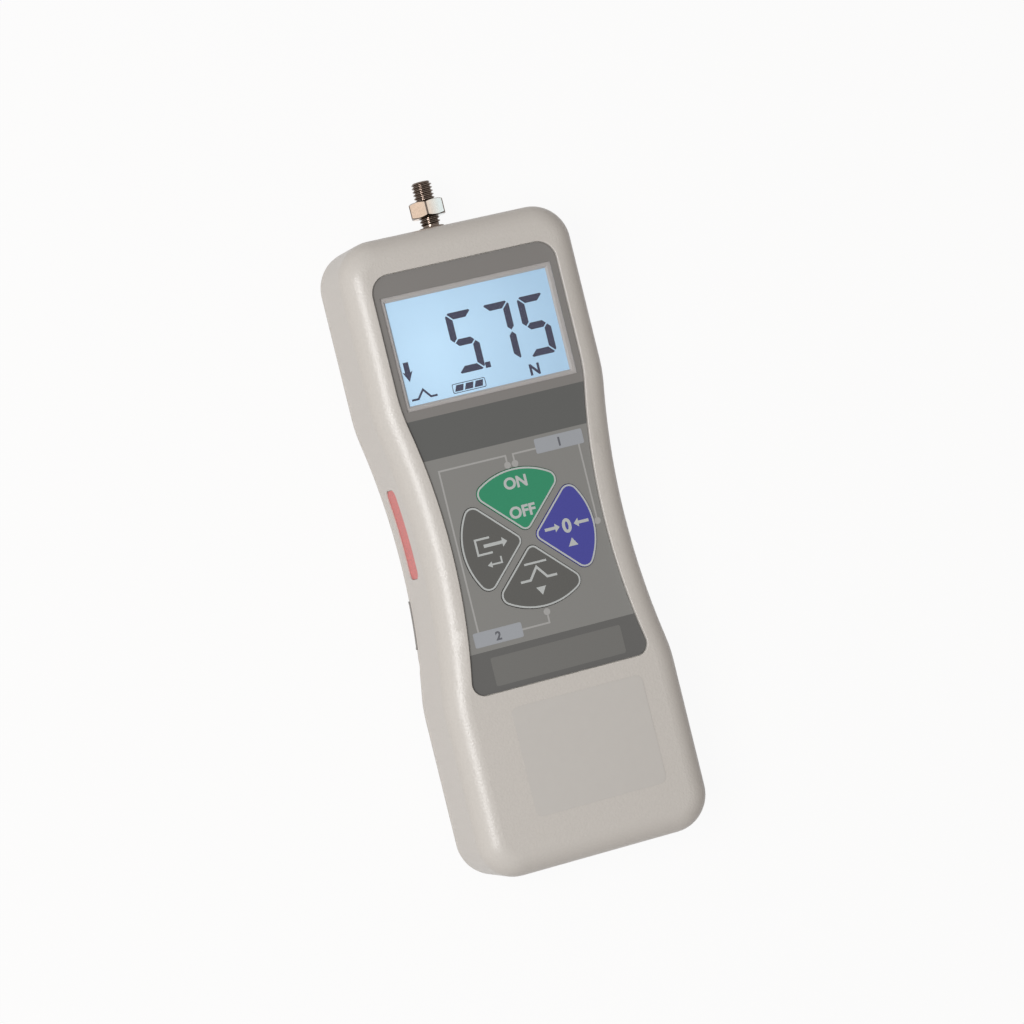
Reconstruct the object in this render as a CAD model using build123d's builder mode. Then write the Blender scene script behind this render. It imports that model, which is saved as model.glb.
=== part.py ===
"""Handheld digital force gauge, lying on its back.

+Z points out of the display, +Y towards the measuring shaft and +X to the right of the keys.
The origin is the centre of the four mounting holes, on the flat back.  Millimetres.
"""

import os
from math import radians, tan
from build123d import *

os.makedirs("parts", exist_ok=True)

# ---------------------------------------------------------------- driving dimensions
# Case: an hourglass plan, split into a deep front shell and a shallow rear shell.
case_length = 186.6
case_width = 71.0
case_depth = 34.0
case_corner_radius = 11.2
waist_depth = 4.0  # how far each side is drawn in
waist_lead = 1.75  # start of the panel's waist down to the start of the case's
waist_tail = 0.35  # panel foot down to the end of the case's waist
kink_radius = 40.0  # blends the straight sides into the waist
front_edge_radius = 6.8
rear_side_height = 0.5  # straight side between the rear edge's curve and the parting line
parting_chamfer = 0.35
wall = 2.5
front_wall = 3.0

# Panel: a thin sheet in a recess of the front shell.
panel_side_margin = 7.4
panel_top_margin = 10.95
panel_foot_margin = 52.85
panel_waist_depth = 4.8
panel_foot_inset = 0.35
panel_kink_drop = 39.0  # panel top to the start of the waist curve
panel_kink_radius = 50.0
panel_top_radius = 5.5
panel_foot_radius = 3.5
panel_sink = 1.0
overlay_thickness = 0.5
overlay_gap = 0.15
recess_rim_radius = 0.3

# Display stack, from the lens down to the main board.
display_side_margin = 3.4  # panel edge to the view
display_view_height = 30.2
display_drop = 22.85  # panel top to the centre of the view
display_rim = 1.5  # bezel seen round the view
bezel_lip = 2.1  # bezel hidden under the overlay
bezel_lip_thickness = 0.8
bezel_bevel = 0.5
bezel_wall = 1.0
lens_thickness = 0.75
glass_thickness = 1.9
contact_strip_width = 2.0
backlight_side_gap = 1.0

# Keys: four rounded petals inside one circle.
key_side_margin = 2.87  # narrowest panel edge to the key circle
key_rise_from_foot = 40.64  # panel foot to the centre of the key circle
key_spacing = 2.05  # between the edges of neighbouring keys
key_corner_radius = 2.9
key_point_radius = 2.2
key_gap = 0.12
key_proud = 0.3
key_edge_radius = 0.2
key_travel = 0.5
key_flange_width = 0.6
key_flange_thickness = 1.0
key_stop_gap = 0.1
switch_inset = 8.63  # key circle to each switch
switch_size = 6.0
switch_height = 3.5
switch_button_radius = 1.75
switch_gap = 0.1
switch_floor = 0.5
switch_chamfer = 0.4
button_chamfer = 0.2

# Main board.
board_gap_to_wall = 1.5
board_thickness = 1.6
board_depth = 9.0  # front face of the case to the front of the board
board_top_gap = 2.2  # panel top to the shoulder of the board
board_tab_width = 24.0
board_tab_length = 5.5
board_foot_gap = 2.4  # board stops this far above the panel foot
board_boss_radius = 2.6
board_boss_inset = 5.0  # waist wall to the boss axis
upper_boss_drop = 10.35  # start of the panel's waist down to the upper bosses
lower_boss_rise = 2.45  # panel foot up to the lower bosses
board_boss_edge = 0.7  # end of the board to the middle boss
board_corner_radius = 2.0
board_screw_radius = 1.25
board_screw_grip = 4.0
screw_end_gap = 0.3
chip_height = 1.4
processor_side = 12.0
processor_x = -8.0
processor_gap = 11.4  # flex socket to the processor
amplifier_length = 10.0
amplifier_width = 4.0
amplifier_x = 14.0
amplifier_rise = 16.0  # from the key circle's centre, as the converter's drop
converter_length = 9.0
converter_width = 6.0
converter_x = 12.0
converter_drop = 14.0

# Measuring shaft, nut and bush.
thread_radius = 3.0
thread_root_radius = 2.5
thread_length = 13.4
shaft_collar_radius = 3.8
shaft_collar_rise = 1.35  # collar above the top of the case
shaft_tip_chamfer = 0.6
shaft_collar_edge = 0.3
stud_radius = 2.5
stud_length = 8.0
stud_end_gap = 1.0
nut_across_flats = 10.0
nut_thickness = 4.8
nut_rise = 4.3  # top of the case to the under side of the nut
nut_turn = 17.4  # one corner of the nut leans this far from the display's normal
nut_face_margin = 0.3  # flats to the round face
nut_chamfer_angle = 30
bush_radius = 4.9
bush_collar = 1.0
bush_sink = 0.1
bush_chamfer = 0.4
bush_parting_gap = 0.3  # bush to the parting line
running_gap = 0.05
bush_gap = 0.1

# Load cell: an S shaped block that the shaft pulls and pushes along Y.
cell_width = 38.0
cell_length = 44.0
cell_floor_gap = 0.2  # mounting bosses to the cell
cell_board_gap = 1.8  # cell to the parts under the main board
cell_slot_height = 2.0
cell_slot_reach = 31.0
cell_bar = 11.0
cell_window_width = 18.0
cell_window_height = 11.0
cell_window_radius = 3.0
gauge_length = 5.0
gauge_width = 6.0
gauge_thickness = 0.1
gauge_spacing = 1.0
bracket_width = 34.0
bracket_upright = 7.0
bracket_foot_length = 25.0
bracket_foot_thickness = 2.5
bracket_bend_radius = 1.5
bracket_pad = 1.5
cell_bolt_radius = 2.5
cell_bolt_grip = 9.0
cell_bolt_end_gap = 0.5
cell_bolt_head_margin = 1.0  # faces of the cell to the flats of the head
cell_bolt_head_height = 4.0
bracket_screw_spacing_x = 24.0
bracket_screw_spacing_y = 9.0
bracket_screw_radius = 1.5
bracket_screw_grip = 2.6
screw_head_ratio = 1.85
screw_head_height = 1.8
screw_head_roundness = 0.4  # edge radius as a part of the head's height

# Power: battery cells across the tray, and the connector board on the left.
battery_radius = 5.25
battery_length = 44.5
battery_nub_radius = 2.7
battery_nub_height = 0.8
battery_edge_radius = 0.5
battery_side_gap = 0.5
battery_end_gap = 7.8  # outside of the foot wall to the batteries
battery_gap = 0.8  # batteries to the mounting bosses
tray_floor = 0.8
tray_saddle_width = 4.0
tray_saddle_inset = 8.0
tray_side = 1.2
io_board_width = 23.0
io_board_length = 31.0
io_board_rise = 38.8  # end of the waist up to the top of the connector board
io_board_drop = 0.6  # parting line to the under side of the connector board
io_wall_gap = 0.5  # waist wall to the connector board
io_post_radius = 2.5
io_post_inset = 2.6
output_drop = 15.0  # top of the connector board to the middle of the connector
output_length = 14.0
output_depth = 12.0
output_edge_radius = 0.6
output_slot_length = 12.4
output_slot_height = 2.4
output_slot_depth = 6.0
output_slot_radius = 0.5
output_tongue_height = 0.8
output_tongue_gap = 1.2
jack_drop = 27.0
jack_width = 7.4
jack_depth = 11.0
jack_bore_wall = 0.6
jack_bore_depth = 9.0
jack_pin_radius = 0.6
port_gap = 0.3
port_window_gap = 0.2  # round the connector's slot and the jack's bore
connector_frame_margin = 0.7
connector_frame_height = 4.9
connector_frame_radius = 1.2
connector_frame_proud = 0.3
connector_frame_sunk = 1.0
floor_gap = 0.2
link_length = 16.0
link_width = 2.5
link_inset = 4.0
lead_radius = 0.8
lead_spacing = 5.0
lead_rise = 2.45  # battery axis to the leads
plug_width = 8.0
plug_length = 5.0
plug_chamfer = 0.4
flex_thickness = 0.3
flex_width = 8.0
flex_landing = 8.0
flex_slope_run = 5.0
flex_socket_length = 5.0
flex_socket_side = 1.5
flex_socket_height = 2.4
flex_socket_chamfer = 0.3

# Fixings.
case_screw_inset_x = 7.75
case_screw_inset_y = 9.0
case_boss_radius = 3.5
case_screw_radius = 1.5
case_screw_grip = 12.0
case_screw_head_radius = 2.8
case_screw_head_height = 2.2
case_screw_sink = 3.0
case_screw_clearance = 0.2
case_screw_end_gap = 1.0
mount_spacing_x = 28.0
insert_radius = 3.0
insert_length = 6.0
insert_bore_radius = 1.65
insert_bore_depth = 5.5
insert_boss_wall = 1.2
insert_boss_cap = 1.0
fit_gap = 0.05

# Side badge and clear film.
badge_length = 26.4
badge_height = 9.0
badge_corner_radius = 2.4
badge_rise = 9.0  # middle of the waist to the middle of the badge
badge_drop = 16.6  # face of the case to the middle of the badge
badge_pocket = 0.8
badge_thickness = 0.5
badge_gap = 0.1
film_width = 40.5
film_length = 32.0
film_centre_x = 2.5
film_drop = 21.4  # panel foot to the centre of the film
film_thickness = 0.1
film_corner_radius = 2.0

# ---------------------------------------------------------------- derived places
case_top = case_length / 2
half_width = case_width / 2
ceiling = case_depth - front_wall
overlay_top = case_depth - panel_sink
recess_floor = overlay_top - overlay_thickness
panel_top = case_top - panel_top_margin
panel_foot = panel_foot_margin - case_top
panel_half = half_width - panel_side_margin
panel_foot_half = panel_half - panel_foot_inset
panel_kink = panel_top - panel_kink_drop
waist_top = panel_kink - waist_lead
waist_bottom = panel_foot - waist_tail
waist_middle = (waist_top + waist_bottom) / 2
waist_inside = half_width - waist_depth - wall

key_centre = panel_foot + key_rise_from_foot
key_circle_radius = panel_half - panel_waist_depth - key_side_margin
switch_distance = key_circle_radius - switch_inset
key_top = overlay_top + key_proud
flange_top = ceiling - key_stop_gap
cap_under = flange_top - key_flange_thickness

display_centre = panel_top - display_drop
display_view_width = 2 * (panel_half - display_side_margin)
window_width = display_view_width + 2 * display_rim
window_height = display_view_height + 2 * display_rim
bezel_width = window_width + 2 * bezel_lip
bezel_height = window_height + 2 * bezel_lip
lens_under = overlay_top - lens_thickness
glass_top = lens_under - bezel_lip_thickness
glass_under = glass_top - glass_thickness
glass_width = bezel_width - 2 * bezel_wall - 2 * fit_gap
glass_height = bezel_height - 2 * bezel_wall - 2 * fit_gap

board_top = case_depth - board_depth
board_under = board_top - board_thickness
board_half = waist_inside - board_gap_to_wall
board_shoulder = panel_top - board_top_gap
board_foot = panel_foot - board_foot_gap
board_boss_x = waist_inside - board_boss_inset
board_tab_boss_y = board_shoulder + board_tab_length - board_boss_radius - board_boss_edge
switch_top = board_top + switch_height

battery_end = battery_end_gap - case_top
battery_start = battery_end + battery_length
battery_height = wall + floor_gap + tray_floor + battery_radius + fit_gap
insert_boss_radius = insert_radius + insert_boss_wall
insert_boss_top = insert_length + insert_boss_cap
mount_y = -battery_start - battery_gap - insert_boss_radius

cell_under = insert_boss_top + cell_floor_gap
cell_over = board_under - flex_socket_height - cell_board_gap
cell_thickness = cell_over - cell_under
cell_rear = mount_y - insert_boss_radius - floor_gap
cell_front = cell_rear + cell_length
cell_middle = cell_rear + cell_length / 2
bracket_rear = cell_rear - bracket_upright
foot_under = wall + bracket_pad
foot_top = foot_under + bracket_foot_thickness
shaft_height = (cell_under + cell_over) / 2
collar_end = case_top + shaft_collar_rise
shaft_tip = collar_end + thread_length
nut_under = case_top + nut_rise
nut_top = nut_under + nut_thickness
parting_height = shaft_height - bush_radius - bush_parting_gap
rear_edge_radius = parting_height - rear_side_height

case_screw_x = half_width - case_screw_inset_x
case_screw_y = case_top - case_screw_inset_y
battery_count = int((case_screw_x - case_boss_radius - battery_side_gap) / battery_radius)
tray_half = battery_count * battery_radius + tray_side
io_left = io_wall_gap - waist_inside
io_board_top = waist_bottom + io_board_rise
io_board_height = parting_height - io_board_drop
io_board_over = io_board_height + board_thickness
io_middle_x = io_left + io_board_width / 2
io_middle_y = io_board_top - io_board_length / 2
output_centre = io_board_top - output_drop
jack_centre = io_board_top - jack_drop
port_floor = wall + floor_gap
port_height = io_board_height - port_floor
port_middle_z = port_floor + port_height / 2
output_window_length = output_slot_length + 2 * port_window_gap
output_window_height = output_slot_height + 2 * port_window_gap
jack_bore_radius = port_height / 2 - jack_bore_wall
jack_window_radius = jack_bore_radius + port_window_gap
connector_frame_length = output_window_length + 2 * connector_frame_margin
flex_end = cell_rear - flex_slope_run
processor_y = flex_end - flex_socket_length - processor_gap - processor_side / 2
plug_x = -(battery_count - 2) * battery_radius
plug_middle_y = io_board_top - io_board_length + plug_length / 2
lead_height = battery_height + lead_rise
badge_centre_y = waist_middle + badge_rise
badge_centre_z = case_depth - badge_drop
film_centre_y = panel_foot - film_drop
quarter_turns = {"on_off": 0, "send": 90, "peak": 180, "zero": 270}


# ---------------------------------------------------------------- shared outlines
with BuildSketch() as case_plan:
    with BuildLine():
        upper_side = Line((half_width, case_top), (half_width, waist_top))
        waist_curve = ThreePointArc(
            upper_side @ 1,
            (half_width - waist_depth, waist_middle),
            (half_width, waist_bottom),
        )
        Line(waist_curve @ 1, (half_width, -case_top))
        mirror(about=Plane.YZ)
        Line((-half_width, case_top), (half_width, case_top))
        Line((-half_width, -case_top), (half_width, -case_top))
    make_face()
    by_height = case_plan.vertices().group_by(Axis.Y)
    fillet(by_height[1] + by_height[-2], kink_radius)
    fillet(case_plan.vertices().group_by(Axis.Y)[0], case_corner_radius)
    fillet(case_plan.vertices().group_by(Axis.Y)[-1], case_corner_radius)

with BuildSketch() as panel_plan:
    with BuildLine():
        panel_side = Line((panel_half, panel_top), (panel_half, panel_kink))
        ThreePointArc(
            panel_side @ 1,
            (panel_half - panel_waist_depth, (panel_kink + panel_foot) / 2),
            (panel_foot_half, panel_foot),
        )
        mirror(about=Plane.YZ)
        Line((-panel_half, panel_top), (panel_half, panel_top))
        Line((-panel_foot_half, panel_foot), (panel_foot_half, panel_foot))
    make_face()
    fillet(panel_plan.vertices().group_by(Axis.Y)[1], panel_kink_radius)
    fillet(panel_plan.vertices().group_by(Axis.Y)[-1], panel_top_radius)
    fillet(panel_plan.vertices().group_by(Axis.Y)[0], panel_foot_radius)

# One key petal, pointing at the centre of the key circle from above.
petal_start = key_spacing / 2 * 2**0.5
with BuildSketch() as petal:
    with BuildLine():
        Polyline(
            (0, petal_start),
            (key_circle_radius, petal_start + key_circle_radius),
            (-key_circle_radius, petal_start + key_circle_radius),
            close=True,
        )
    make_face()
    Circle(key_circle_radius, mode=Mode.INTERSECT)
    fillet(petal.vertices().sort_by(Axis.Y)[0], key_point_radius)
    fillet(petal.vertices().sort_by(Axis.X)[0], key_corner_radius)
    fillet(petal.vertices().sort_by(Axis.X)[-1], key_corner_radius)


def plan_solid(low, high, inset):
    """Solid of the case's plan between two heights, drawn in by inset."""
    with BuildPart() as solid:
        with BuildSketch(Plane.XY.offset(low)):
            if inset:
                offset(case_plan.sketch, amount=-inset)
            else:
                add(case_plan.sketch)
        extrude(amount=high - low)
    return solid.part


def key_face(turn, grow):
    """Outline of one key, turned round the key circle's centre and grown by a margin."""
    with BuildSketch() as face:
        with Locations((0, key_centre)):
            add(petal.sketch, rotation=turn)
    with BuildSketch() as grown:
        if grow:
            offset(face.sketch, amount=grow)
        else:
            add(face.sketch)
    return grown.sketch


def rear_shell(inset):
    """Solid inside the outer face of the rear case, drawn in by inset."""
    block = plan_solid(inset, parting_height, inset)
    with BuildPart() as shell:
        add(block)
        fillet(shell.faces().sort_by(Axis.Z)[0].edges(), rear_edge_radius - inset)
    return shell.part


def badge_band(length, height, depth):
    """Curved plate that follows the left wall of the case, depth deep."""
    with BuildPart() as band:
        with BuildSketch(Plane.XY.offset(badge_centre_z - height)):
            add(case_plan.sketch)
            offset(case_plan.sketch, amount=-depth, mode=Mode.SUBTRACT)
        extrude(amount=2 * height)
        with BuildSketch(Plane.YZ.offset(-half_width)):
            with Locations((badge_centre_y, badge_centre_z)):
                RectangleRounded(length, height, badge_corner_radius)
        extrude(amount=half_width, mode=Mode.INTERSECT)
    return band.part


def connector_frame_band(grow):
    """Plate in the left wall of the rear case, following both of its curves, grown by a margin."""
    proud, sunk = rear_shell(-connector_frame_proud), rear_shell(connector_frame_sunk)
    length, height = connector_frame_length + 2 * grow, connector_frame_height + 2 * grow
    with BuildPart() as band:
        add(proud)
        add(sunk, mode=Mode.SUBTRACT)
        with BuildSketch(Plane.YZ.offset(-half_width - connector_frame_proud)):
            with Locations((output_centre, port_middle_z)):
                RectangleRounded(length, height, connector_frame_radius)
        extrude(amount=half_width, mode=Mode.INTERSECT)
    return band.part


def four_corners(x, y, z):
    """Places at the corners of a centred rectangle."""
    return [(sx * x, sy * y, z) for sx in (-1, 1) for sy in (-1, 1)]


board_boss_ys = (panel_kink - upper_boss_drop, panel_foot + lower_boss_rise)
board_boss_places = [(sx * board_boss_x, y) for sx in (-1, 1) for y in board_boss_ys]
board_boss_places.append((0, board_tab_boss_y))
from_top = (Align.CENTER, Align.CENTER, Align.MAX)
from_base = (Align.CENTER, Align.CENTER, Align.MIN)
from_corner = (Align.MIN, Align.MIN)
along_y = (-90, 0, 0)

# ---------------------------------------------------------------- front case
front_cavity = plan_solid(parting_height, ceiling, wall)
front_cavity = fillet(front_cavity.faces().sort_by(Axis.Z)[-1].edges(), front_edge_radius - wall)
badge_pocket_cut = badge_band(badge_length + 2 * badge_gap, badge_height + 2 * badge_gap, badge_pocket)

with BuildPart() as front_case:
    add(plan_solid(parting_height, case_depth, 0))
    fillet(front_case.faces().sort_by(Axis.Z)[-1].edges(), front_edge_radius)
    chamfer(front_case.faces().sort_by(Axis.Z)[0].edges(), parting_chamfer)
    add(front_cavity, mode=Mode.SUBTRACT)
    # Bosses stand down from the front wall.
    with Locations(four_corners(case_screw_x, case_screw_y, parting_height)):
        Cylinder(case_boss_radius, ceiling - parting_height, align=from_base)
    with Locations(four_corners(case_screw_x, case_screw_y, parting_height)):
        Cylinder(case_screw_radius, case_screw_grip, align=from_base, mode=Mode.SUBTRACT)
    with Locations([(x, y, board_top) for x, y in board_boss_places]):
        Cylinder(board_boss_radius, ceiling - board_top, align=from_base)
    with Locations([(x, y, board_top) for x, y in board_boss_places]):
        Cylinder(board_screw_radius, board_screw_grip, align=from_base, mode=Mode.SUBTRACT)
    # Recess for the overlay, with a softened rim.
    with BuildSketch(Plane.XY.offset(recess_floor)):
        offset(panel_plan.sketch, amount=overlay_gap)
    extrude(amount=case_depth, mode=Mode.SUBTRACT)
    front_face = front_case.faces().filter_by_position(Axis.Z, case_depth, case_depth)[0]
    fillet(front_face.inner_wires()[0].edges(), recess_rim_radius)
    # Openings for the display, the keys and the shaft bush.
    with BuildSketch(Plane.XY.offset(ceiling)):
        with Locations((0, display_centre)):
            Rectangle(bezel_width + 2 * fit_gap, bezel_height + 2 * fit_gap)
    extrude(amount=recess_floor - ceiling, mode=Mode.SUBTRACT)
    with BuildSketch(Plane.XY.offset(ceiling)):
        for turn in quarter_turns.values():
            add(key_face(turn, key_gap))
    extrude(amount=front_wall, mode=Mode.SUBTRACT)
    with Locations((0, case_top, shaft_height)):
        Cylinder(bush_radius + fit_gap, 4 * wall, rotation=along_y, mode=Mode.SUBTRACT)
    add(badge_pocket_cut, mode=Mode.SUBTRACT)
front_case.part.label = "front_case"

# ---------------------------------------------------------------- rear case
insert_places = four_corners(mount_spacing_x / 2, mount_y, 0)
pad_middle_y = cell_rear - bracket_foot_length / 2
bracket_screw_y = bracket_rear - bracket_foot_length / 2 + bracket_upright / 2
io_post_x = io_left + io_board_width - io_post_inset
io_post_foot = io_board_top - io_board_length + plug_length + 2 * io_post_inset
io_post_places = [(io_post_x, io_board_top - io_post_inset), (io_post_x, io_post_foot)]
case_screw_hole = case_screw_radius + case_screw_clearance
case_screw_mouth = case_screw_head_radius + case_screw_clearance
output_middle_x = io_left + output_depth / 2
jack_middle_x = io_left + jack_depth / 2
rear_outer, rear_inner = rear_shell(0), rear_shell(wall)
port_pocket_cut = connector_frame_band(fit_gap)
with BuildSketch(Plane.YZ.offset(-half_width)) as port_windows:
    with Locations((output_centre, port_middle_z)):
        RectangleRounded(output_window_length, output_window_height, output_slot_radius)
    with Locations((jack_centre, port_middle_z)):
        Circle(jack_window_radius)

with BuildPart() as rear_case:
    add(rear_outer)
    chamfer(rear_case.faces().sort_by(Axis.Z)[-1].edges(), parting_chamfer)
    add(rear_inner, mode=Mode.SUBTRACT)
    # Bosses for the case screws, the mounting inserts, the bracket and the connector board.
    with Locations(four_corners(case_screw_x, case_screw_y, wall)):
        Cylinder(case_boss_radius, parting_height - wall, align=from_base)
    with Locations(four_corners(case_screw_x, case_screw_y, 0)):
        Cylinder(case_screw_hole, parting_height, align=from_base, mode=Mode.SUBTRACT)
    with Locations(four_corners(case_screw_x, case_screw_y, 0)):
        Cylinder(case_screw_mouth, case_screw_sink, align=from_base, mode=Mode.SUBTRACT)
    with Locations(insert_places):
        Cylinder(insert_boss_radius, insert_boss_top, align=from_base)
    with Locations(insert_places):
        Cylinder(insert_radius + fit_gap, insert_length, align=from_base, mode=Mode.SUBTRACT)
    with Locations((0, pad_middle_y, wall)):
        Box(bracket_width, bracket_foot_length, bracket_pad, align=from_base)
    with Locations((0, bracket_screw_y, foot_under)):
        with GridLocations(bracket_screw_spacing_x, bracket_screw_spacing_y, 2, 2):
            Cylinder(bracket_screw_radius, bracket_screw_grip, align=from_top, mode=Mode.SUBTRACT)
    with Locations([(x, y, wall) for x, y in io_post_places]):
        Cylinder(io_post_radius, io_board_height - wall, align=from_base)
    with Locations([(x, y, io_board_height) for x, y in io_post_places]):
        Cylinder(board_screw_radius, board_screw_grip, align=from_top, mode=Mode.SUBTRACT)
    # Room for the two port bodies, then the pocket of their frame and the windows through the left wall.
    port_bodies = ((output_centre, output_length, output_depth), (jack_centre, jack_width, jack_depth))
    for port_centre, port_length, port_depth in port_bodies:
        with Locations((io_left - port_gap, port_centre, port_floor)):
            Box(
                port_depth + 2 * port_gap, port_length + 2 * port_gap, parting_height,
                align=(Align.MIN, Align.CENTER, Align.MIN), mode=Mode.SUBTRACT,
            )
    add(port_pocket_cut, mode=Mode.SUBTRACT)
    extrude(port_windows.sketch, amount=half_width + io_left, mode=Mode.SUBTRACT)
rear_case.part.label = "rear_case"

# ---------------------------------------------------------------- panel and display
with BuildPart() as panel_overlay:
    with BuildSketch(Plane.XY.offset(recess_floor)):
        add(panel_plan.sketch)
        with Locations((0, display_centre)):
            Rectangle(window_width, window_height, mode=Mode.SUBTRACT)
        for turn in quarter_turns.values():
            add(key_face(turn, key_gap), mode=Mode.SUBTRACT)
    extrude(amount=overlay_thickness)
panel_overlay.part.label = "panel_overlay"

with BuildPart() as display_lens:
    with BuildSketch(Plane.XY.offset(lens_under)):
        with Locations((0, display_centre)):
            Rectangle(window_width - 2 * fit_gap, window_height - 2 * fit_gap)
    extrude(amount=lens_thickness)
display_lens.part.label = "display_lens"

with BuildPart() as display_bezel:
    with BuildSketch(Plane.XY.offset(glass_under)):
        with Locations((0, display_centre)):
            Rectangle(bezel_width, bezel_height)
            Rectangle(bezel_width - 2 * bezel_wall, bezel_height - 2 * bezel_wall, mode=Mode.SUBTRACT)
    extrude(amount=glass_thickness)
    with BuildSketch(Plane.XY.offset(glass_top)):
        with Locations((0, display_centre)):
            Rectangle(bezel_width, bezel_height)
            Rectangle(display_view_width, display_view_height, mode=Mode.SUBTRACT)
    extrude(amount=lens_under - glass_top)
    lip_face = display_bezel.faces().sort_by(Axis.Z)[-1]
    chamfer(lip_face.inner_wires()[0].edges(), bezel_bevel)
display_bezel.part.label = "display_bezel"

with BuildPart() as display_glass:
    with Locations((0, display_centre, glass_under)):
        Box(glass_width, glass_height, glass_thickness, align=from_base)
    chamfer(display_glass.edges().filter_by(Axis.Z), bezel_bevel)
display_glass.part.label = "display_glass"

backlight_height = glass_height - 2 * (contact_strip_width + backlight_side_gap)
with BuildPart() as display_backlight:
    with Locations((0, display_centre, board_top)):
        Box(glass_width, backlight_height, glass_under - board_top, align=from_base)
    chamfer(display_backlight.faces().sort_by(Axis.Z)[-1].edges(), bezel_bevel)
display_backlight.part.label = "display_backlight"

with BuildPart() as display_contact_strips:
    with BuildSketch(Plane.XY.offset(board_top)):
        with Locations((0, display_centre)):
            with GridLocations(0, glass_height - contact_strip_width, 1, 2):
                Rectangle(display_view_width, contact_strip_width)
    extrude(amount=glass_under - board_top)
display_contact_strips.part.label = "display_contact_strips"

# ---------------------------------------------------------------- main board
switch_places = [
    (switch_distance * dx, key_centre + switch_distance * dy) for dx, dy in ((0, 1), (-1, 0), (0, -1), (1, 0))
]
board_screw_places = [(x, y, board_under) for x, y in board_boss_places]

with BuildPart() as main_board:
    with BuildSketch(Plane.XY.offset(board_under)):
        with Locations((0, (board_shoulder + board_foot) / 2)):
            RectangleRounded(2 * board_half, board_shoulder - board_foot, board_corner_radius)
        with Locations((0, board_shoulder)):
            Rectangle(board_tab_width, 2 * board_tab_length)
        with Locations(board_boss_places):
            Circle(board_screw_radius + fit_gap, mode=Mode.SUBTRACT)
    extrude(amount=board_thickness)
main_board.part.label = "main_board"


def pan_screw(radius, head_height, length):
    """Pan head screw lying along -Z from its seat at the origin, head above."""
    with BuildPart() as screw:
        Cylinder(radius - fit_gap, length, align=from_top)
        Cylinder(radius * screw_head_ratio, head_height, align=from_base)
        fillet(screw.faces().sort_by(Axis.Z)[-1].edges(), head_height * screw_head_roundness)
    return screw.part


def group_of(piece, places, turn=(0, 0, 0)):
    """Copies of one piece at several places, as one labelled group of separate solids."""
    with BuildPart() as group:
        with Locations([Location(place, turn) for place in places]):
            add(piece)
    return group.part


board_screw = pan_screw(
    board_screw_radius, screw_head_height, board_thickness + board_screw_grip - screw_end_gap
)
board_screws = group_of(board_screw, board_screw_places, turn=(180, 0, 0))
board_screws.label = "board_screws"

# Each switch button stands in a blind bore, a full stroke above its floor.
button_stroke = key_travel + switch_gap
button_bore_depth = button_stroke + switch_floor
with BuildPart() as key_switches:
    with Locations([(x, y, board_top) for x, y in switch_places]):
        Box(switch_size, switch_size, switch_height, align=from_base)
    with Locations([(x, y, switch_top) for x, y in switch_places]):
        Cylinder(switch_button_radius + switch_gap, button_bore_depth, align=from_top, mode=Mode.SUBTRACT)
    chamfer(key_switches.edges().filter_by(Axis.Z).group_by(SortBy.LENGTH)[-1], switch_chamfer)
key_switches.part.label = "key_switches"

with BuildPart() as board_chips:
    with Locations((processor_x, processor_y, board_under)):
        Box(processor_side, processor_side, chip_height, align=from_top)
    with Locations((amplifier_x, key_centre + amplifier_rise, board_under)):
        Box(amplifier_length, amplifier_width, chip_height, align=from_top)
    with Locations((converter_x, key_centre - converter_drop, board_under)):
        Box(converter_length, converter_width, chip_height, align=from_top)
board_chips.part.label = "board_chips"

# ---------------------------------------------------------------- keys and their switch buttons
keys = {}
switch_buttons = {}
for (key_name, turn), (switch_x, switch_y) in zip(quarter_turns.items(), switch_places):
    with BuildPart() as key:
        with BuildSketch(Plane.XY.offset(flange_top)):
            add(key_face(turn, 0))
        extrude(amount=key_top - flange_top)
        fillet(key.faces().sort_by(Axis.Z)[-1].edges(), key_edge_radius)
        with BuildSketch(Plane.XY.offset(cap_under)):
            add(key_face(turn, key_flange_width))
        extrude(amount=key_flange_thickness)
    key.part.label = f"key_{key_name}"
    keys[key_name] = key.part
    with BuildPart() as button:
        with Locations((switch_x, switch_y, cap_under)):
            Cylinder(switch_button_radius, cap_under - switch_top + switch_floor, align=from_top)
        chamfer(button.faces().sort_by(Axis.Z)[0].edges(), button_chamfer)
    button.part.label = f"{key_name}_switch_button"
    switch_buttons[key_name] = button.part

# ---------------------------------------------------------------- measuring shaft, nut and bush
with BuildPart() as measuring_shaft:
    with BuildSketch(Plane.YZ):
        with BuildLine():
            Polyline(
                (cell_front - stud_length, shaft_height),
                (cell_front - stud_length, shaft_height + stud_radius - running_gap),
                (cell_front, shaft_height + stud_radius - running_gap),
                (cell_front, shaft_height + shaft_collar_radius),
                (collar_end, shaft_height + shaft_collar_radius),
                (collar_end, shaft_height + thread_root_radius),
                (nut_top + running_gap, shaft_height + thread_root_radius),
                (nut_top + running_gap, shaft_height + thread_radius),
                (shaft_tip - shaft_tip_chamfer, shaft_height + thread_radius),
                (shaft_tip, shaft_height + thread_radius - shaft_tip_chamfer),
                (shaft_tip, shaft_height),
                close=True,
            )
        make_face()
    revolve(axis=Axis((0, 0, shaft_height), (0, 1, 0)))
    collar_edges = measuring_shaft.edges().filter_by(GeomType.CIRCLE)
    collar_edges = collar_edges.filter_by_position(Axis.Y, collar_end, collar_end)
    fillet(collar_edges.sort_by(SortBy.RADIUS)[-1], shaft_collar_edge)
measuring_shaft.part.label = "measuring_shaft"

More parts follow.
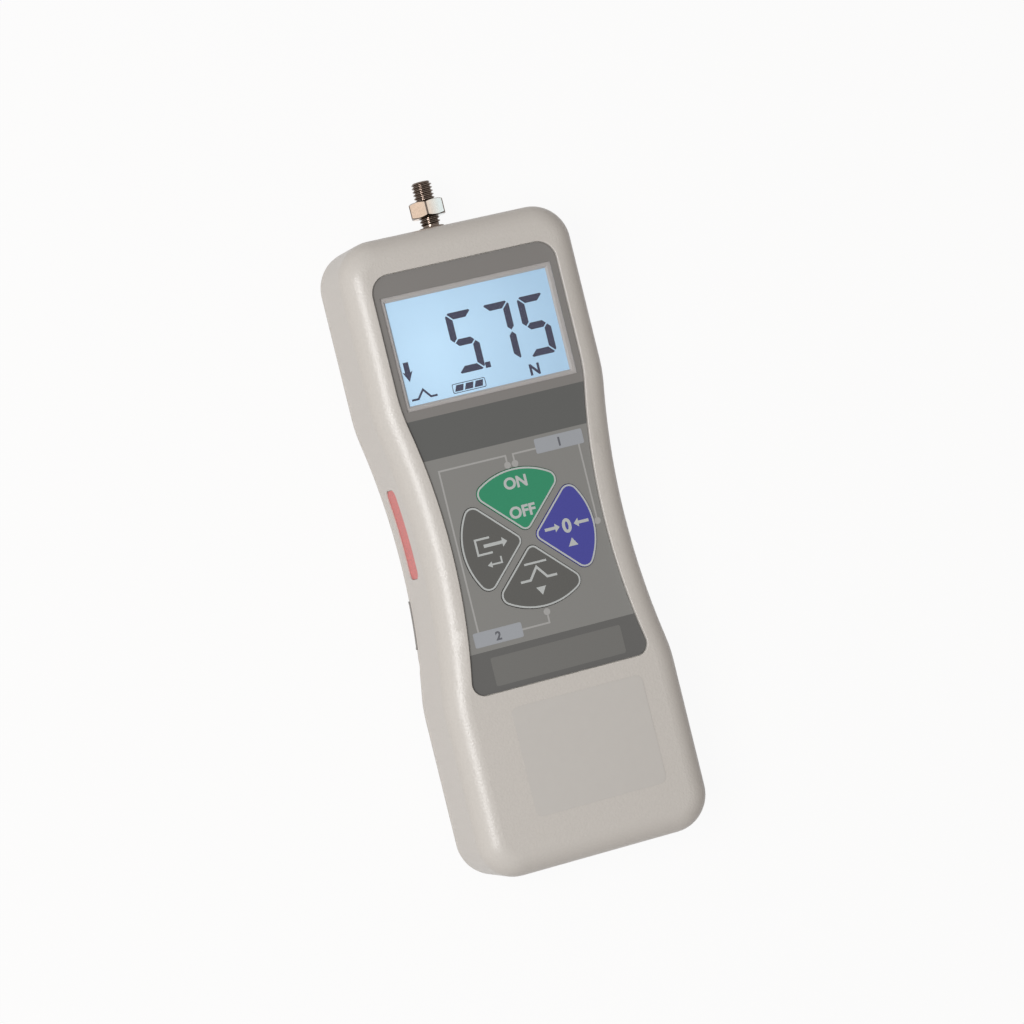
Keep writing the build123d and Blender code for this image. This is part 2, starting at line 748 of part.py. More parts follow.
# Hexagon nut, its corners cut back by a cone at both faces.
nut_corner_radius = nut_across_flats / 3**0.5
nut_face_radius = nut_across_flats / 2 - nut_face_margin
nut_corner_cut = (nut_corner_radius - nut_face_radius) * tan(radians(nut_chamfer_angle))
with BuildPart() as lock_nut:
    with BuildSketch(Plane((0, nut_under, shaft_height), x_dir=(1, 0, 0), z_dir=(0, 1, 0))):
        RegularPolygon(nut_corner_radius, 6, rotation=-90 - nut_turn)
        Circle(thread_root_radius + running_gap, mode=Mode.SUBTRACT)
    extrude(amount=nut_thickness)
    with BuildSketch(Plane.YZ):
        with BuildLine():
            Polyline(
                (nut_under, shaft_height),
                (nut_under, shaft_height + nut_face_radius),
                (nut_under + nut_corner_cut, shaft_height + nut_corner_radius),
                (nut_top - nut_corner_cut, shaft_height + nut_corner_radius),
                (nut_top, shaft_height + nut_face_radius),
                (nut_top, shaft_height),
                close=True,
            )
        make_face()
    revolve(axis=Axis((0, 0, shaft_height), (0, 1, 0)), mode=Mode.INTERSECT)
lock_nut.part.label = "lock_nut"

bush_length = wall + bush_collar - bush_sink
with BuildPart() as shaft_bush:
    with BuildSketch(Plane.YZ):
        with Locations((case_top - wall - bush_collar, shaft_height)):
            Rectangle(bush_length, bush_radius, align=from_corner)
            Rectangle(bush_length, shaft_collar_radius + bush_gap, align=from_corner, mode=Mode.SUBTRACT)
    revolve(axis=Axis((0, 0, shaft_height), (0, 1, 0)))
    chamfer(shaft_bush.faces().sort_by(Axis.Y)[-1].edges(), bush_chamfer)
shaft_bush.part.label = "shaft_bush"

# ---------------------------------------------------------------- load cell and its mounting
with BuildPart() as load_cell:
    with Locations((0, cell_middle, shaft_height)):
        Box(cell_width, cell_length, cell_thickness)
    with BuildSketch(Plane.XY.offset(cell_under)):
        # Slots from opposite sides leave the S, and the window thins the sensing beams.
        with Locations((cell_width / 2, cell_front - cell_bar)):
            Rectangle(cell_slot_reach, cell_slot_height, align=(Align.MAX, Align.MAX))
        with Locations((-cell_width / 2, cell_rear + cell_bar)):
            Rectangle(cell_slot_reach, cell_slot_height, align=(Align.MIN, Align.MIN))
        with Locations((0, cell_middle)):
            RectangleRounded(cell_window_width, cell_window_height, cell_window_radius)
    extrude(amount=cell_thickness, mode=Mode.SUBTRACT)
    with Locations((0, cell_front, shaft_height)):
        Cylinder(stud_radius, 2 * (stud_length + stud_end_gap), rotation=along_y, mode=Mode.SUBTRACT)
    with Locations((0, cell_rear, shaft_height)):
        Cylinder(cell_bolt_radius, 2 * cell_bolt_grip, rotation=along_y, mode=Mode.SUBTRACT)
load_cell.part.label = "load_cell"

with BuildPart() as strain_gauges:
    with Locations((0, cell_middle, shaft_height)):
        gauge_reach = cell_window_height - gauge_thickness
        with GridLocations(gauge_length + gauge_spacing, gauge_reach, 2, 2):
            Box(gauge_length, gauge_thickness, gauge_width)
strain_gauges.part.label = "strain_gauges"

with BuildPart() as load_cell_bracket:
    with BuildSketch(Plane.YZ.offset(-bracket_width / 2)):
        with BuildLine():
            Polyline(
                (cell_rear, foot_under),
                (cell_rear, cell_over),
                (bracket_rear, cell_over),
                (bracket_rear, foot_top),
                (cell_rear - bracket_foot_length, foot_top),
                (cell_rear - bracket_foot_length, foot_under),
                close=True,
            )
        make_face()
    extrude(amount=bracket_width)
    inner_bend = load_cell_bracket.edges().filter_by(Axis.X).filter_by_position(Axis.Z, foot_top, foot_top)
    fillet(inner_bend.sort_by(Axis.Y)[-1], bracket_bend_radius)
    with Locations((0, bracket_rear, shaft_height)):
        Cylinder(cell_bolt_radius + fit_gap, 4 * bracket_upright, rotation=along_y, mode=Mode.SUBTRACT)
    with Locations((0, bracket_screw_y, foot_top)):
        with GridLocations(bracket_screw_spacing_x, bracket_screw_spacing_y, 2, 2):
            Cylinder(
                bracket_screw_radius + fit_gap, bracket_foot_thickness, align=from_top, mode=Mode.SUBTRACT
            )
load_cell_bracket.part.label = "load_cell_bracket"

bracket_screw = pan_screw(
    bracket_screw_radius, screw_head_height, bracket_foot_thickness + bracket_screw_grip - screw_end_gap
)
bracket_screw_places = [
    (sx * bracket_screw_spacing_x / 2, bracket_screw_y + sy * bracket_screw_spacing_y / 2, foot_top)
    for sx in (-1, 1)
    for sy in (-1, 1)
]
bracket_screws = group_of(bracket_screw, bracket_screw_places)
bracket_screws.label = "bracket_screws"

with BuildPart() as load_cell_bolt:
    with BuildSketch(Plane((0, bracket_rear, shaft_height), x_dir=(1, 0, 0), z_dir=(0, -1, 0))):
        RegularPolygon(cell_thickness / 2 - cell_bolt_head_margin, 6, major_radius=False)
    extrude(amount=cell_bolt_head_height)
    with BuildSketch(Plane((0, bracket_rear, shaft_height), x_dir=(1, 0, 0), z_dir=(0, 1, 0))):
        Circle(cell_bolt_radius - fit_gap)
    extrude(amount=bracket_upright + cell_bolt_grip - cell_bolt_end_gap)
load_cell_bolt.part.label = "load_cell_bolt"

# The flex lies on the fixed bar of the cell and rises to a socket under the main board.
flex_socket_level = board_under - flex_socket_height / 2
flex_start = cell_rear + flex_landing
with BuildPart() as load_cell_flex:
    with BuildSketch(Plane.YZ.offset(-flex_width / 2)):
        with BuildLine():
            Polyline(
                (flex_start, cell_over),
                (cell_rear, cell_over),
                (flex_end, flex_socket_level - flex_thickness / 2),
                (flex_end, flex_socket_level + flex_thickness / 2),
                (cell_rear, cell_over + flex_thickness),
                (flex_start, cell_over + flex_thickness),
                close=True,
            )
        make_face()
    extrude(amount=flex_width)
load_cell_flex.part.label = "load_cell_flex"

with BuildPart() as flex_socket:
    with Locations((0, flex_end - flex_socket_length / 2, board_under)):
        Box(flex_width + 2 * flex_socket_side, flex_socket_length, flex_socket_height, align=from_top)
    chamfer(flex_socket.faces().sort_by(Axis.Z)[0].edges(), flex_socket_chamfer)
flex_socket.part.label = "flex_socket"

# ---------------------------------------------------------------- batteries, tray and leads
with BuildPart() as battery:
    with BuildSketch(Plane.XY):
        Circle(battery_radius - fit_gap)
    extrude(amount=battery_length - battery_nub_height)
    fillet(battery.edges(), battery_edge_radius)
    with BuildSketch(Plane.XY.offset(battery_length - battery_nub_height)):
        Circle(battery_nub_radius)
    extrude(amount=battery_nub_height)

battery_xs = [(i - (battery_count - 1) / 2) * 2 * battery_radius for i in range(battery_count)]
battery_places = [(x, battery_end, battery_height) for x in battery_xs]
battery_cells = group_of(battery.part, battery_places, turn=along_y)
battery_cells.label = "battery_cells"

saddle_spacing = battery_length - 2 * tray_saddle_inset
with BuildPart() as battery_tray:
    with Locations((0, (battery_start + battery_end) / 2, wall + floor_gap)):
        Box(2 * tray_half, saddle_spacing + tray_saddle_width, tray_floor, align=from_base)
        with GridLocations(0, saddle_spacing, 1, 2):
            Box(2 * tray_half, tray_saddle_width, battery_height - wall - floor_gap, align=from_base)
    with Locations([Location(place, along_y) for place in battery_places]):
        Cylinder(battery_radius, battery_length, align=from_base, mode=Mode.SUBTRACT)
battery_tray.part.label = "battery_tray"

# A header on the connector board takes the two battery leads.
with BuildPart() as battery_plug:
    with Locations((plug_x, plug_middle_y, io_board_over)):
        Box(plug_width, plug_length, 2 * (lead_height - io_board_over), align=from_base)
    chamfer(battery_plug.faces().sort_by(Axis.Z)[-1].edges(), plug_chamfer)
battery_plug.part.label = "battery_plug"

lead_start = plug_middle_y - plug_length / 2
lead_plane = Plane((plug_x, lead_start, lead_height), x_dir=(1, 0, 0), z_dir=(0, -1, 0))
lead_end = battery_start - battery_nub_height
with BuildPart() as battery_leads:
    with BuildSketch(lead_plane):
        with GridLocations(lead_spacing, 0, 2, 1):
            Circle(lead_radius)
    extrude(amount=lead_start - lead_end)
battery_leads.part.label = "battery_leads"

# ---------------------------------------------------------------- connector board and ports
with BuildPart() as connector_board:
    with BuildSketch(Plane.XY.offset(io_board_height)):
        with Locations((io_middle_x, io_middle_y)):
            Rectangle(io_board_width, io_board_length)
        with Locations(io_post_places):
            Circle(board_screw_radius + fit_gap, mode=Mode.SUBTRACT)
    extrude(amount=board_thickness)
connector_board.part.label = "connector_board"

connector_board_screws = group_of(board_screw, [(x, y, io_board_over) for x, y in io_post_places])
connector_board_screws.label = "connector_board_screws"

with BuildPart() as connector_frame:
    add(connector_frame_band(0))
    extrude(port_windows.sketch, amount=half_width, mode=Mode.SUBTRACT)
connector_frame.part.label = "connector_frame"

with BuildPart() as output_connector:
    with Locations((output_middle_x, output_centre, port_floor)):
        Box(output_depth, output_length, port_height, align=from_base)
    fillet(output_connector.faces().sort_by(Axis.X)[0].edges(), output_edge_radius)
    with BuildSketch(Plane.YZ.offset(io_left)):
        with Locations((output_centre, port_middle_z)):
            RectangleRounded(output_slot_length, output_slot_height, output_slot_radius)
            Rectangle(output_slot_length - 2 * output_tongue_gap, output_tongue_height, mode=Mode.SUBTRACT)
    extrude(amount=output_slot_depth, mode=Mode.SUBTRACT)
output_connector.part.label = "output_connector"

with BuildPart() as power_jack:
    with Locations((jack_middle_x, jack_centre, port_floor)):
        Box(jack_depth, jack_width, port_height, align=from_base)
    with BuildSketch(Plane.YZ.offset(io_left)):
        with Locations((jack_centre, port_middle_z)):
            Circle(jack_bore_radius)
            Circle(jack_pin_radius, mode=Mode.SUBTRACT)
    extrude(amount=jack_bore_depth, mode=Mode.SUBTRACT)
power_jack.part.label = "power_jack"

with BuildPart() as board_link:
    with Locations((io_left + link_inset, io_middle_y + link_inset, io_board_over)):
        Box(link_width, link_length, board_under - io_board_over, align=from_base)
board_link.part.label = "board_link"

# ---------------------------------------------------------------- case screws and mounting inserts
case_screw_length = parting_height - case_screw_sink + case_screw_grip - case_screw_end_gap
with BuildPart() as case_screw:
    Cylinder(case_screw_radius - fit_gap, case_screw_length, align=from_base)
    Cylinder(case_screw_head_radius, case_screw_head_height, align=from_top)
    fillet(case_screw.faces().sort_by(Axis.Z)[0].edges(), case_screw_head_height * screw_head_roundness)
case_screws = group_of(case_screw.part, four_corners(case_screw_x, case_screw_y, case_screw_sink))
case_screws.label = "case_screws"

with BuildPart() as insert:
    Cylinder(insert_radius, insert_length - fit_gap, align=from_base)
    Cylinder(insert_bore_radius, insert_bore_depth, align=from_base, mode=Mode.SUBTRACT)
mounting_inserts = group_of(insert.part, insert_places)
mounting_inserts.label = "mounting_inserts"

# ---------------------------------------------------------------- side badge and clear film
badge_outer = badge_band(badge_length, badge_height, badge_pocket)
badge_skin = badge_band(2 * badge_length, 2 * badge_height, badge_pocket - badge_thickness)
with BuildPart() as side_badge:
    add(badge_outer)
    add(badge_skin, mode=Mode.SUBTRACT)
side_badge.part.label = "side_badge"

with BuildPart() as clear_film:
    with BuildSketch(Plane.XY.offset(case_depth)):
        with Locations((film_centre_x, film_centre_y)):
            RectangleRounded(film_width, film_length, film_corner_radius)
    extrude(amount=film_thickness)
clear_film.part.label = "clear_film"

# ---------------------------------------------------------------- export
pieces = [
    front_case.part, rear_case.part, panel_overlay.part, display_lens.part, display_bezel.part,
    display_glass.part, display_backlight.part, display_contact_strips.part, main_board.part,
    board_screws, board_chips.part, key_switches.part, measuring_shaft.part, lock_nut.part, shaft_bush.part,
    load_cell.part, strain_gauges.part, load_cell_bracket.part, bracket_screws, load_cell_bolt.part,
    load_cell_flex.part, flex_socket.part, battery_cells, battery_tray.part, battery_plug.part,
    battery_leads.part, connector_board.part, connector_board_screws, output_connector.part,
    power_jack.part, connector_frame.part, board_link.part, case_screws, mounting_inserts, side_badge.part,
    clear_film.part,
]
pieces += list(keys.values()) + list(switch_buttons.values())
for piece in pieces:
    export_step(piece, f"parts/{piece.label}.step")
print(len(pieces), "pieces written")
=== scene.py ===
"""Finishes, print, threads and studio for the handheld digital force gauge.

The gauge lies on its back: +Z points out of the display and +Y towards the measuring shaft.
The origin is the middle of the four mounting holes, on the flat back. Metres.
"""

from math import atan2, cos, pi, radians, sin, sqrt, tan

import bmesh
import bpy
from mathutils import Matrix, Vector


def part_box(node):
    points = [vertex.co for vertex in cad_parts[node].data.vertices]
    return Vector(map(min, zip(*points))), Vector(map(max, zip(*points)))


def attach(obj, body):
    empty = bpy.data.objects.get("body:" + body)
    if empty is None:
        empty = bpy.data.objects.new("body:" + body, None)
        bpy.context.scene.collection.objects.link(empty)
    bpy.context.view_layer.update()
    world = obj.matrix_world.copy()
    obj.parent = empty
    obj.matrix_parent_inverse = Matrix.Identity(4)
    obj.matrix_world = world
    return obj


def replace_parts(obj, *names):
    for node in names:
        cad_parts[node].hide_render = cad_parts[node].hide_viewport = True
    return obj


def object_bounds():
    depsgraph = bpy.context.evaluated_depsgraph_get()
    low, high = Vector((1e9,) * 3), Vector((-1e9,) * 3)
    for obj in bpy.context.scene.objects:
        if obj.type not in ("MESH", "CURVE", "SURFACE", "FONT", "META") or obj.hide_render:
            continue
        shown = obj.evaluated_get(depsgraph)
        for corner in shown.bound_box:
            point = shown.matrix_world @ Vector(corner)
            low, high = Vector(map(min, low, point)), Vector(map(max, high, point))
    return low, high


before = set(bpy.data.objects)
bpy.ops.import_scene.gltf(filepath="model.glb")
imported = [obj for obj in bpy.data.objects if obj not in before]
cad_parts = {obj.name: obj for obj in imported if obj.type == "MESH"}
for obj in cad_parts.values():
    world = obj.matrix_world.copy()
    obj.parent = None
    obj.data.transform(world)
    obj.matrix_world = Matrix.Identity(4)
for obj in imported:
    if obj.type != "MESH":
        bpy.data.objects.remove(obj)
cad_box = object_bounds()

MM = 0.001

# ---------------------------------------------------------------- sizes: print
PRINT_THICKNESS = 0.02 * MM
CAPITAL_SHARE = 0.73  # height of a capital as a part of the font's size
LETTER_WEIGHT = 0.05  # letters are thickened by this part of their height
CORNER_STEPS = 6
CIRCLE_STEPS = 48
ARC_STEPS = 10
PETAL_STEPS = 24

# The panel. Places are across from its middle, and up from the key circle's centre.
LINE_WIDTH = 0.5 * MM
LINE_SIDE = 21.4 * MM
LINE_TOP = 24.3 * MM
DOT_RADIUS = 1.0 * MM
DOT_LEFT = (-1.0 * MM, 21.5 * MM)
DOT_MIDDLE = (1.3 * MM, 21.5 * MM)
DOT_RIGHT = (LINE_SIDE, -0.1 * MM)
DOT_FOOT = (0.0, -21.9 * MM)
TAG_SIZE = (14.8 * MM, 4.3 * MM)
TAG_CORNER = 0.5 * MM
TAG_DIGIT_HEIGHT = 2.5 * MM
UPPER_TAG = (15.8 * MM, 24.8 * MM)
LOWER_TAG = (-15.8 * MM, -25.0 * MM)
LOWER_LINE_DROP = 0.1 * MM  # the lower tag's middle down to its line
INSET_PLACE = (0.3 * MM, -34.9 * MM)
INSET_SIZE = (40.2 * MM, 8.3 * MM)
INSET_CORNER = 0.6 * MM
DARK_BAND_TOP = 39.76 * MM
DARK_BAND_FOOT = 27.87 * MM
FOOT_BAND_TOP = -28.85 * MM

# The keys. Places are from the key circle's centre.
KEY_RADIUS = 20.43 * MM
KEY_GAP = 2.05 * MM
KEY_CORNER = 2.9 * MM
KEY_POINT = 2.2 * MM
KEY_LINE_INSET = 0.12 * MM
KEY_LINE_WIDTH = 0.5 * MM
WORD_RISE = {"ON": 16.4 * MM, "OFF": 7.9 * MM}
LETTER_HEIGHT = 3.3 * MM
NOUGHT_HEIGHT = 4.0 * MM
ZERO_SIGN = (11.9 * MM, 0.8 * MM)
SEND_SIGN = (-11.6 * MM, 0.6 * MM)
PEAK_SIGN = (0.0, -10.4 * MM)
FINE_LINE = 0.5 * MM
SIGN_LINE = 0.6 * MM
PEAK_LINE = 0.7 * MM
ARROW_HEAD = 0.55  # length of an arrow's head as a part of its height
ARROW_SHAFT = 0.17  # half the width of its shaft, likewise

# The display. Places are from the origin.
DIGIT_WIDTH = 8.3 * MM
DIGIT_HEIGHT = 17.7 * MM
DIGIT_STROKE = 2.0 * MM
DIGIT_GAP = 0.28 * MM
DIGIT_CORNER = 1.0 * MM
DIGIT_FOOT = 50.25 * MM
DIGIT_LEFTS = {"left": -8.2 * MM, "middle": 3.1 * MM, "right": 14.0 * MM}
POINT_SIZE = (1.6 * MM, 1.7 * MM)
POINT_X = 1.0 * MM
BATTERY_PLACE = (-6.0 * MM, 46.5 * MM)
BATTERY_CASE = ((10.2 * MM, 2.8 * MM, 0.5 * MM), (9.8 * MM, 2.4 * MM, 0.4 * MM))  # width, height, corner
BATTERY_SPACING = 3.0 * MM
FORCE_ARROW = (-22.9 * MM, 51.3 * MM)
HOLD_SIGN = (-19.7 * MM, 46.0 * MM)
UNIT_PLACE = (14.4 * MM, 46.9 * MM)
UNIT_HEIGHT = 3.2 * MM

# ---------------------------------------------------------------- sizes: threads and small parts
PITCH = 1.0 * MM
THREAD_CREST = 3.0 * MM
THREAD_ROOT = 2.42 * MM
THREAD_LENGTH = 13.4 * MM
THREAD_FLAT = 0.08  # half the flat at a thread's root, as a part of the pitch
THREAD_FLANK = 0.32  # one flank, likewise
THREAD_NECK = 0.5 * MM  # from the collar to the first of the thread
THREAD_ROWS = 14  # rings in one turn of the stud's thread
STUD_RADIUS = 2.4 * MM
STUD_CHAMFER = 0.6 * MM
COLLAR_RADIUS = 3.8 * MM
COLLAR_EDGE = 0.3 * MM
COLLAR_EDGE_ANGLES = (0, pi / 8, pi / 4, pi / 2.67, pi / 2)
NUT_FLAT = 5.0 * MM
NUT_FACE_MARGIN = 0.3 * MM
NUT_BORE_GAP = 0.08 * MM
NUT_MOUTH_GAP = 0.15 * MM
NUT_CHAMFER = radians(30)
NUT_TURN = radians(17.4)
NUT_CORNER_POWER = 90  # the higher, the sharper the corners
NUT_PAINTED_SHADE_CORNER = radians(2.6)  # each side of a corner, where the nut is painted dark as shade
NUT_PAINTED_SHADE_LEAN = (radians(20), radians(80))  # faces that lean between these are chamfers, painted dark as shade too
FILM_CORNER = 2.0 * MM
CASE_SCREW_RADIUS = 2.8 * MM
CROSS_SIZE = (0.75 * MM, 3.2 * MM, 2.6 * MM)
CROSS_TAPER = 0.55
CROSS_TURN = 25  # degrees from one screw to the next
INSERT_RADIUS = 3.0 * MM
INSERT_CREST = 1.65 * MM
INSERT_ROOT = 2.0 * MM
INSERT_PITCH = 0.7 * MM
INSERT_DEPTH = 5.5 * MM
INSERT_ROWS = 10  # rings in one turn of an insert's thread
CONTACT_COUNT = 10
CONTACT_PITCH = 0.9 * MM
CONTACT_SIZE = (4.4 * MM, 0.5 * MM)
CONTACT_CORNER = 0.12 * MM
CONTACT_INSET = 3.0 * MM
TONGUE_HALF = 0.4 * MM  # half the thickness of the connector's tongue
PIN_RADIUS = 0.62 * MM
PIN_PROFILE = ((0.02 * MM, 0.6), (0.2 * MM, 0.9), (0.45 * MM, 1.0), (9.0 * MM, 1.0))  # depth, share of radius
RING_STEPS = {"shaft": 72, "nut": 240, "insert": 48, "pin": 32}  # points in one ring
SHARP_EDGE = radians(32)  # faces that meet at more than this aren't smoothed into each other

# ---------------------------------------------------------------- looks
NOISE_DETAIL = 3.0
NOISE_RANGE = (0.25, 0.75)
PAINTED_REFLECTION_SPAN = (-2.5 * MM, 2.5 * MM)  # where the painted reflection goes from the warm to the cool tone, across the nut
# The display's colour darkens away from one place left of its middle, as painted shade from the recess round
# the glass.
GLOW_CLOUD = 28 * MM  # size of a soft cloud
GLOW_INSET = 14 * MM  # glass edge to the brightest place
GLOW_REACH = 38 * MM  # from there to where it is darkest
GLOW_FADE = (0.75, -0.25)  # brightness at the two, before the clouds are added
GLOW_CLOUD_SHARE = 0.5  # how much of the clouds is added
GLOW_STRENGTH = 0.28

# ---------------------------------------------------------------- studio
CAMERA_TURN = ((13.8, "Z"), (0.36, "X"), (17.37, "Y"))  # degrees
CAMERA_OFFSET = Vector((4.79, -7.27, -982.8)) * MM  # the middle of the keys, in the camera's own axes
CAMERA_LENS = 120.6  # millimetres
CAMERA_REACH = 20.0
LAMP_PLACE = (-0.50, 0.02, 0.78)
LAMP_SIZE = 0.38
LAMP_POWER = 5.8  # watts
ROOM_LEFT = (0.53, 0.515, 0.50, 1.0)
ROOM_RIGHT = (0.16, 0.125, 0.095, 1.0)
FLOOR_HALF = 3.0
FLOOR_GAP = 0.05 * MM
FLOOR_COLOUR = (0.58, 0.53, 0.49, 1.0)
FLOOR_ROUGHNESS = 0.9
FLOOR_WHITE = 0.94  # share of plain white in the floor, and the rest of it takes the shadow


# ---------------------------------------------------------------- colours and materials
def rgb(red, green, blue):
    """Linear colour from sRGB values of 0 to 255."""
    shares = [value / 255 for value in (red, green, blue)]
    linear = [s / 12.92 if s <= 0.04045 else ((s + 0.055) / 1.055) ** 2.4 for s in shares]
    return (*linear, 1.0)


def noise_texture(nodes, links, place, size, detail=NOISE_DETAIL):
    """Value of a noise with grains of a size in metres."""
    noise = nodes.new("ShaderNodeTexNoise")
    noise.inputs["Scale"].default_value = 1 / size
    noise.inputs["Detail"].default_value = detail
    links.new(place, noise.inputs["Vector"])
    return noise.outputs["Fac"]


def map_range(nodes, links, value, source, target=(0.0, 1.0)):
    """Value carried from the source range to the target range."""
    node = nodes.new("ShaderNodeMapRange")
    for socket, limit in zip(("From Min", "From Max", "To Min", "To Max"), (*source, *target)):
        node.inputs[socket].default_value = limit
    links.new(value, node.inputs["Value"])
    return node.outputs["Result"]


def share_along(nodes, links, place, axis, span):
    """How far a place is along an axis, as a share of a span."""
    split = nodes.new("ShaderNodeSeparateXYZ")
    links.new(place, split.inputs["Vector"])
    return map_range(nodes, links, split.outputs[axis], span)


def blend(nodes, links, share, first, last):
    """Colour that goes from the first to the last as a share goes from 0 to 1."""
    ramp = nodes.new("ShaderNodeValToRGB")
    ramp.color_ramp.elements[0].color = first
    ramp.color_ramp.elements[1].color = last
    links.new(share, ramp.inputs["Fac"])
    return ramp.outputs["Color"]


def finish(name, colour, roughness, grain, tint=0.05, relief=0.0, gloss_range=0.06, **sockets):
    """Material with variation in its colour, roughness and relief.

    colour is a linear colour, or a function that adds nodes to the tree and returns its socket.
    grain is the size of the variation and relief its height, in metres.
    """
    material = bpy.data.materials.new(name)
    material.use_nodes = True
    nodes, links = material.node_tree.nodes, material.node_tree.links
    shader = nodes["Principled BSDF"]
    for socket, value in sockets.items():
        shader.inputs[socket.replace("_", " ")].default_value = value
    place = nodes.new("ShaderNodeTexCoord").outputs["Object"]
    noise = noise_texture(nodes, links, place, grain)

    # A mix node takes its colours at inputs 6 and 7, and gives the mixed colour at output 2.
    mix = nodes.new("ShaderNodeMix")
    mix.data_type = "RGBA"
    mix.blend_type = "MULTIPLY"
    mix.inputs[0].default_value = 1.0
    if callable(colour):
        links.new(colour(nodes, links, place), mix.inputs[6])
    else:
        mix.inputs[6].default_value = colour
    links.new(map_range(nodes, links, noise, NOISE_RANGE, (1 - tint, 1 + tint)), mix.inputs[7])
    links.new(mix.outputs[2], shader.inputs["Base Color"])

    gloss = map_range(nodes, links, noise, (0.0, 1.0), (roughness - gloss_range, roughness + gloss_range))
    links.new(gloss, shader.inputs["Roughness"])
    if relief:
        bump = nodes.new("ShaderNodeBump")
        bump.inputs["Distance"].default_value = relief
        links.new(noise, bump.inputs["Height"])
        links.new(bump.outputs["Normal"], shader.inputs["Normal"])
    return material


def bands(levels, colours):
    """Colour function that steps from one colour to the next at levels of Y."""
    foot, top = panel_low.y, panel_high.y

    def add(nodes, links, place):
        ramp = nodes.new("ShaderNodeValToRGB")
        ramp.color_ramp.interpolation = "CONSTANT"
        ramp.color_ramp.elements.remove(ramp.color_ramp.elements[1])
        ramp.color_ramp.elements[0].color = colours[0]
        for level, colour in zip(levels, colours[1:]):
            ramp.color_ramp.elements.new((level - foot) / (top - foot)).color = colour
        links.new(share_along(nodes, links, place, "Y", (foot, top)), ramp.inputs["Fac"])
        return ramp.outputs["Color"]

    return add


def glow(nodes, links, place):
    """Colour function for the backlight: brightest left of the middle, fading outwards in soft clouds. The
    fade is painted shade from the recess round the glass.
    """
    cloud = noise_texture(nodes, links, place, GLOW_CLOUD, 1.0)
    away = nodes.new("ShaderNodeVectorMath")
    away.operation = "DISTANCE"
    away.inputs[1].default_value = (glass_low.x + GLOW_INSET, (glass_low.y + glass_high.y) / 2, glass_high.z)
    links.new(place, away.inputs[0])
    fade = map_range(nodes, links, away.outputs["Value"], (0.0, GLOW_REACH), GLOW_FADE)
    both = nodes.new("ShaderNodeMath")
    both.operation = "MULTIPLY_ADD"
    both.inputs[1].default_value = GLOW_CLOUD_SHARE
    links.new(cloud, both.inputs[0])
    links.new(fade, both.inputs[2])
    return blend(nodes, links, both.outputs[0], rgb(155, 187, 213), rgb(180, 212, 236))


def painted_reflection_tones(nodes, links, place):
    """Colour function for the nut's clear bright metal, with painted reflection: a warm tone on its left
    shades into a cool tone on its right.
    """
    share = share_along(nodes, links, place, "X", PAINTED_REFLECTION_SPAN)
    return blend(nodes, links, share, rgb(226, 200, 178), rgb(224, 232, 230))


# ---------------------------------------------------------------- meshes
def add_piece(name, mesh, material, body):
    """Puts a mesh in the scene as a piece of the gauge that rides on a body."""
    mesh.materials.clear()
    mesh.materials.append(material)
    obj = bpy.data.objects.new(name, mesh)
    bpy.context.scene.collection.objects.link(obj)
    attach(obj, body)
    return obj


def mesh_of(curve, height):
    """Mesh of a flat curve or text, lifted so that its under side is at height."""
    holder = bpy.data.objects.new("holder", curve)
    bpy.context.scene.collection.objects.link(holder)
    bpy.context.view_layer.update()
    mesh = bpy.data.meshes.new_from_object(holder)
    bpy.data.objects.remove(holder)
    mesh.transform(Matrix.Translation((0, 0, height + curve.extrude)))
    return mesh


def plate(outlines, height):
    """Mesh of print in the shape of closed outlines. An outline inside another is a hole."""
    curve = bpy.data.curves.new("outline", "CURVE")
    curve.dimensions = "2D"
    curve.fill_mode = "BOTH"
    curve.extrude = PRINT_THICKNESS / 2
    for outline in outlines:
        spline = curve.splines.new("POLY")
        spline.points.add(len(outline) - 1)
        for point, (x, y) in zip(spline.points, outline):
            point.co = (x, y, 0, 1)
        spline.use_cyclic_u = True
    return mesh_of(curve, height)


def words(text, letter_height, x, y, height):
    """Mesh of printed capitals, centred on a point."""
    curve = bpy.data.curves.new("words", "FONT")
    curve.body = text
    curve.size = letter_height / CAPITAL_SHARE
    curve.offset = letter_height * LETTER_WEIGHT
    curve.align_x = "CENTER"
    curve.extrude = PRINT_THICKNESS / 2
    mesh = mesh_of(curve, height)
    mesh.transform(Matrix.Translation((x, y - letter_height / 2, 0)))
    return mesh


def rectangle(x, y, width, height, corner=0.0):
    """Outline of a rectangle centred on a point, with round corners."""
    outline = []
    for quarter, (sx, sy) in enumerate(((1, 1), (-1, 1), (-1, -1), (1, -1))):
        centre = Vector((x + sx * (width / 2 - corner), y + sy * (height / 2 - corner)))
        for step in range(CORNER_STEPS + 1 if corner else 1):
            angle = pi / 2 * (quarter + step / CORNER_STEPS)
            outline.append(centre + corner * Vector((cos(angle), sin(angle))))
    return outline


def circle(x, y, radius):
    """Outline of a circle round a point."""
    angles = [2 * pi * step / CIRCLE_STEPS for step in range(CIRCLE_STEPS)]
    return [(x + radius * cos(a), y + radius * sin(a)) for a in angles]


def around(place, *steps):
    """Points at steps from a place. The steps are in millimetres."""
    x, y = place
    return [(x + right * MM, y + up * MM) for right, up in steps]


def stroke(points, width):
    """Outline of a line of even width through points, with square ends and mitred corners."""
    points = [Vector(point) for point in points]
    sides = []
    for i, point in enumerate(points):
        before = (point - points[i - 1]).normalized() if i else None
        after = (points[i + 1] - point).normalized() if i < len(points) - 1 else None
        before, after = before or after, after or before
        across = Vector((-before.y - after.y, before.x + after.x)).normalized()
        sides.append(across * width / 2 / across.dot(Vector((-after.y, after.x))))
    left = [point + side for point, side in zip(points, sides)]
    right = [point - side for point, side in zip(points, sides)]
    return left + right[::-1]


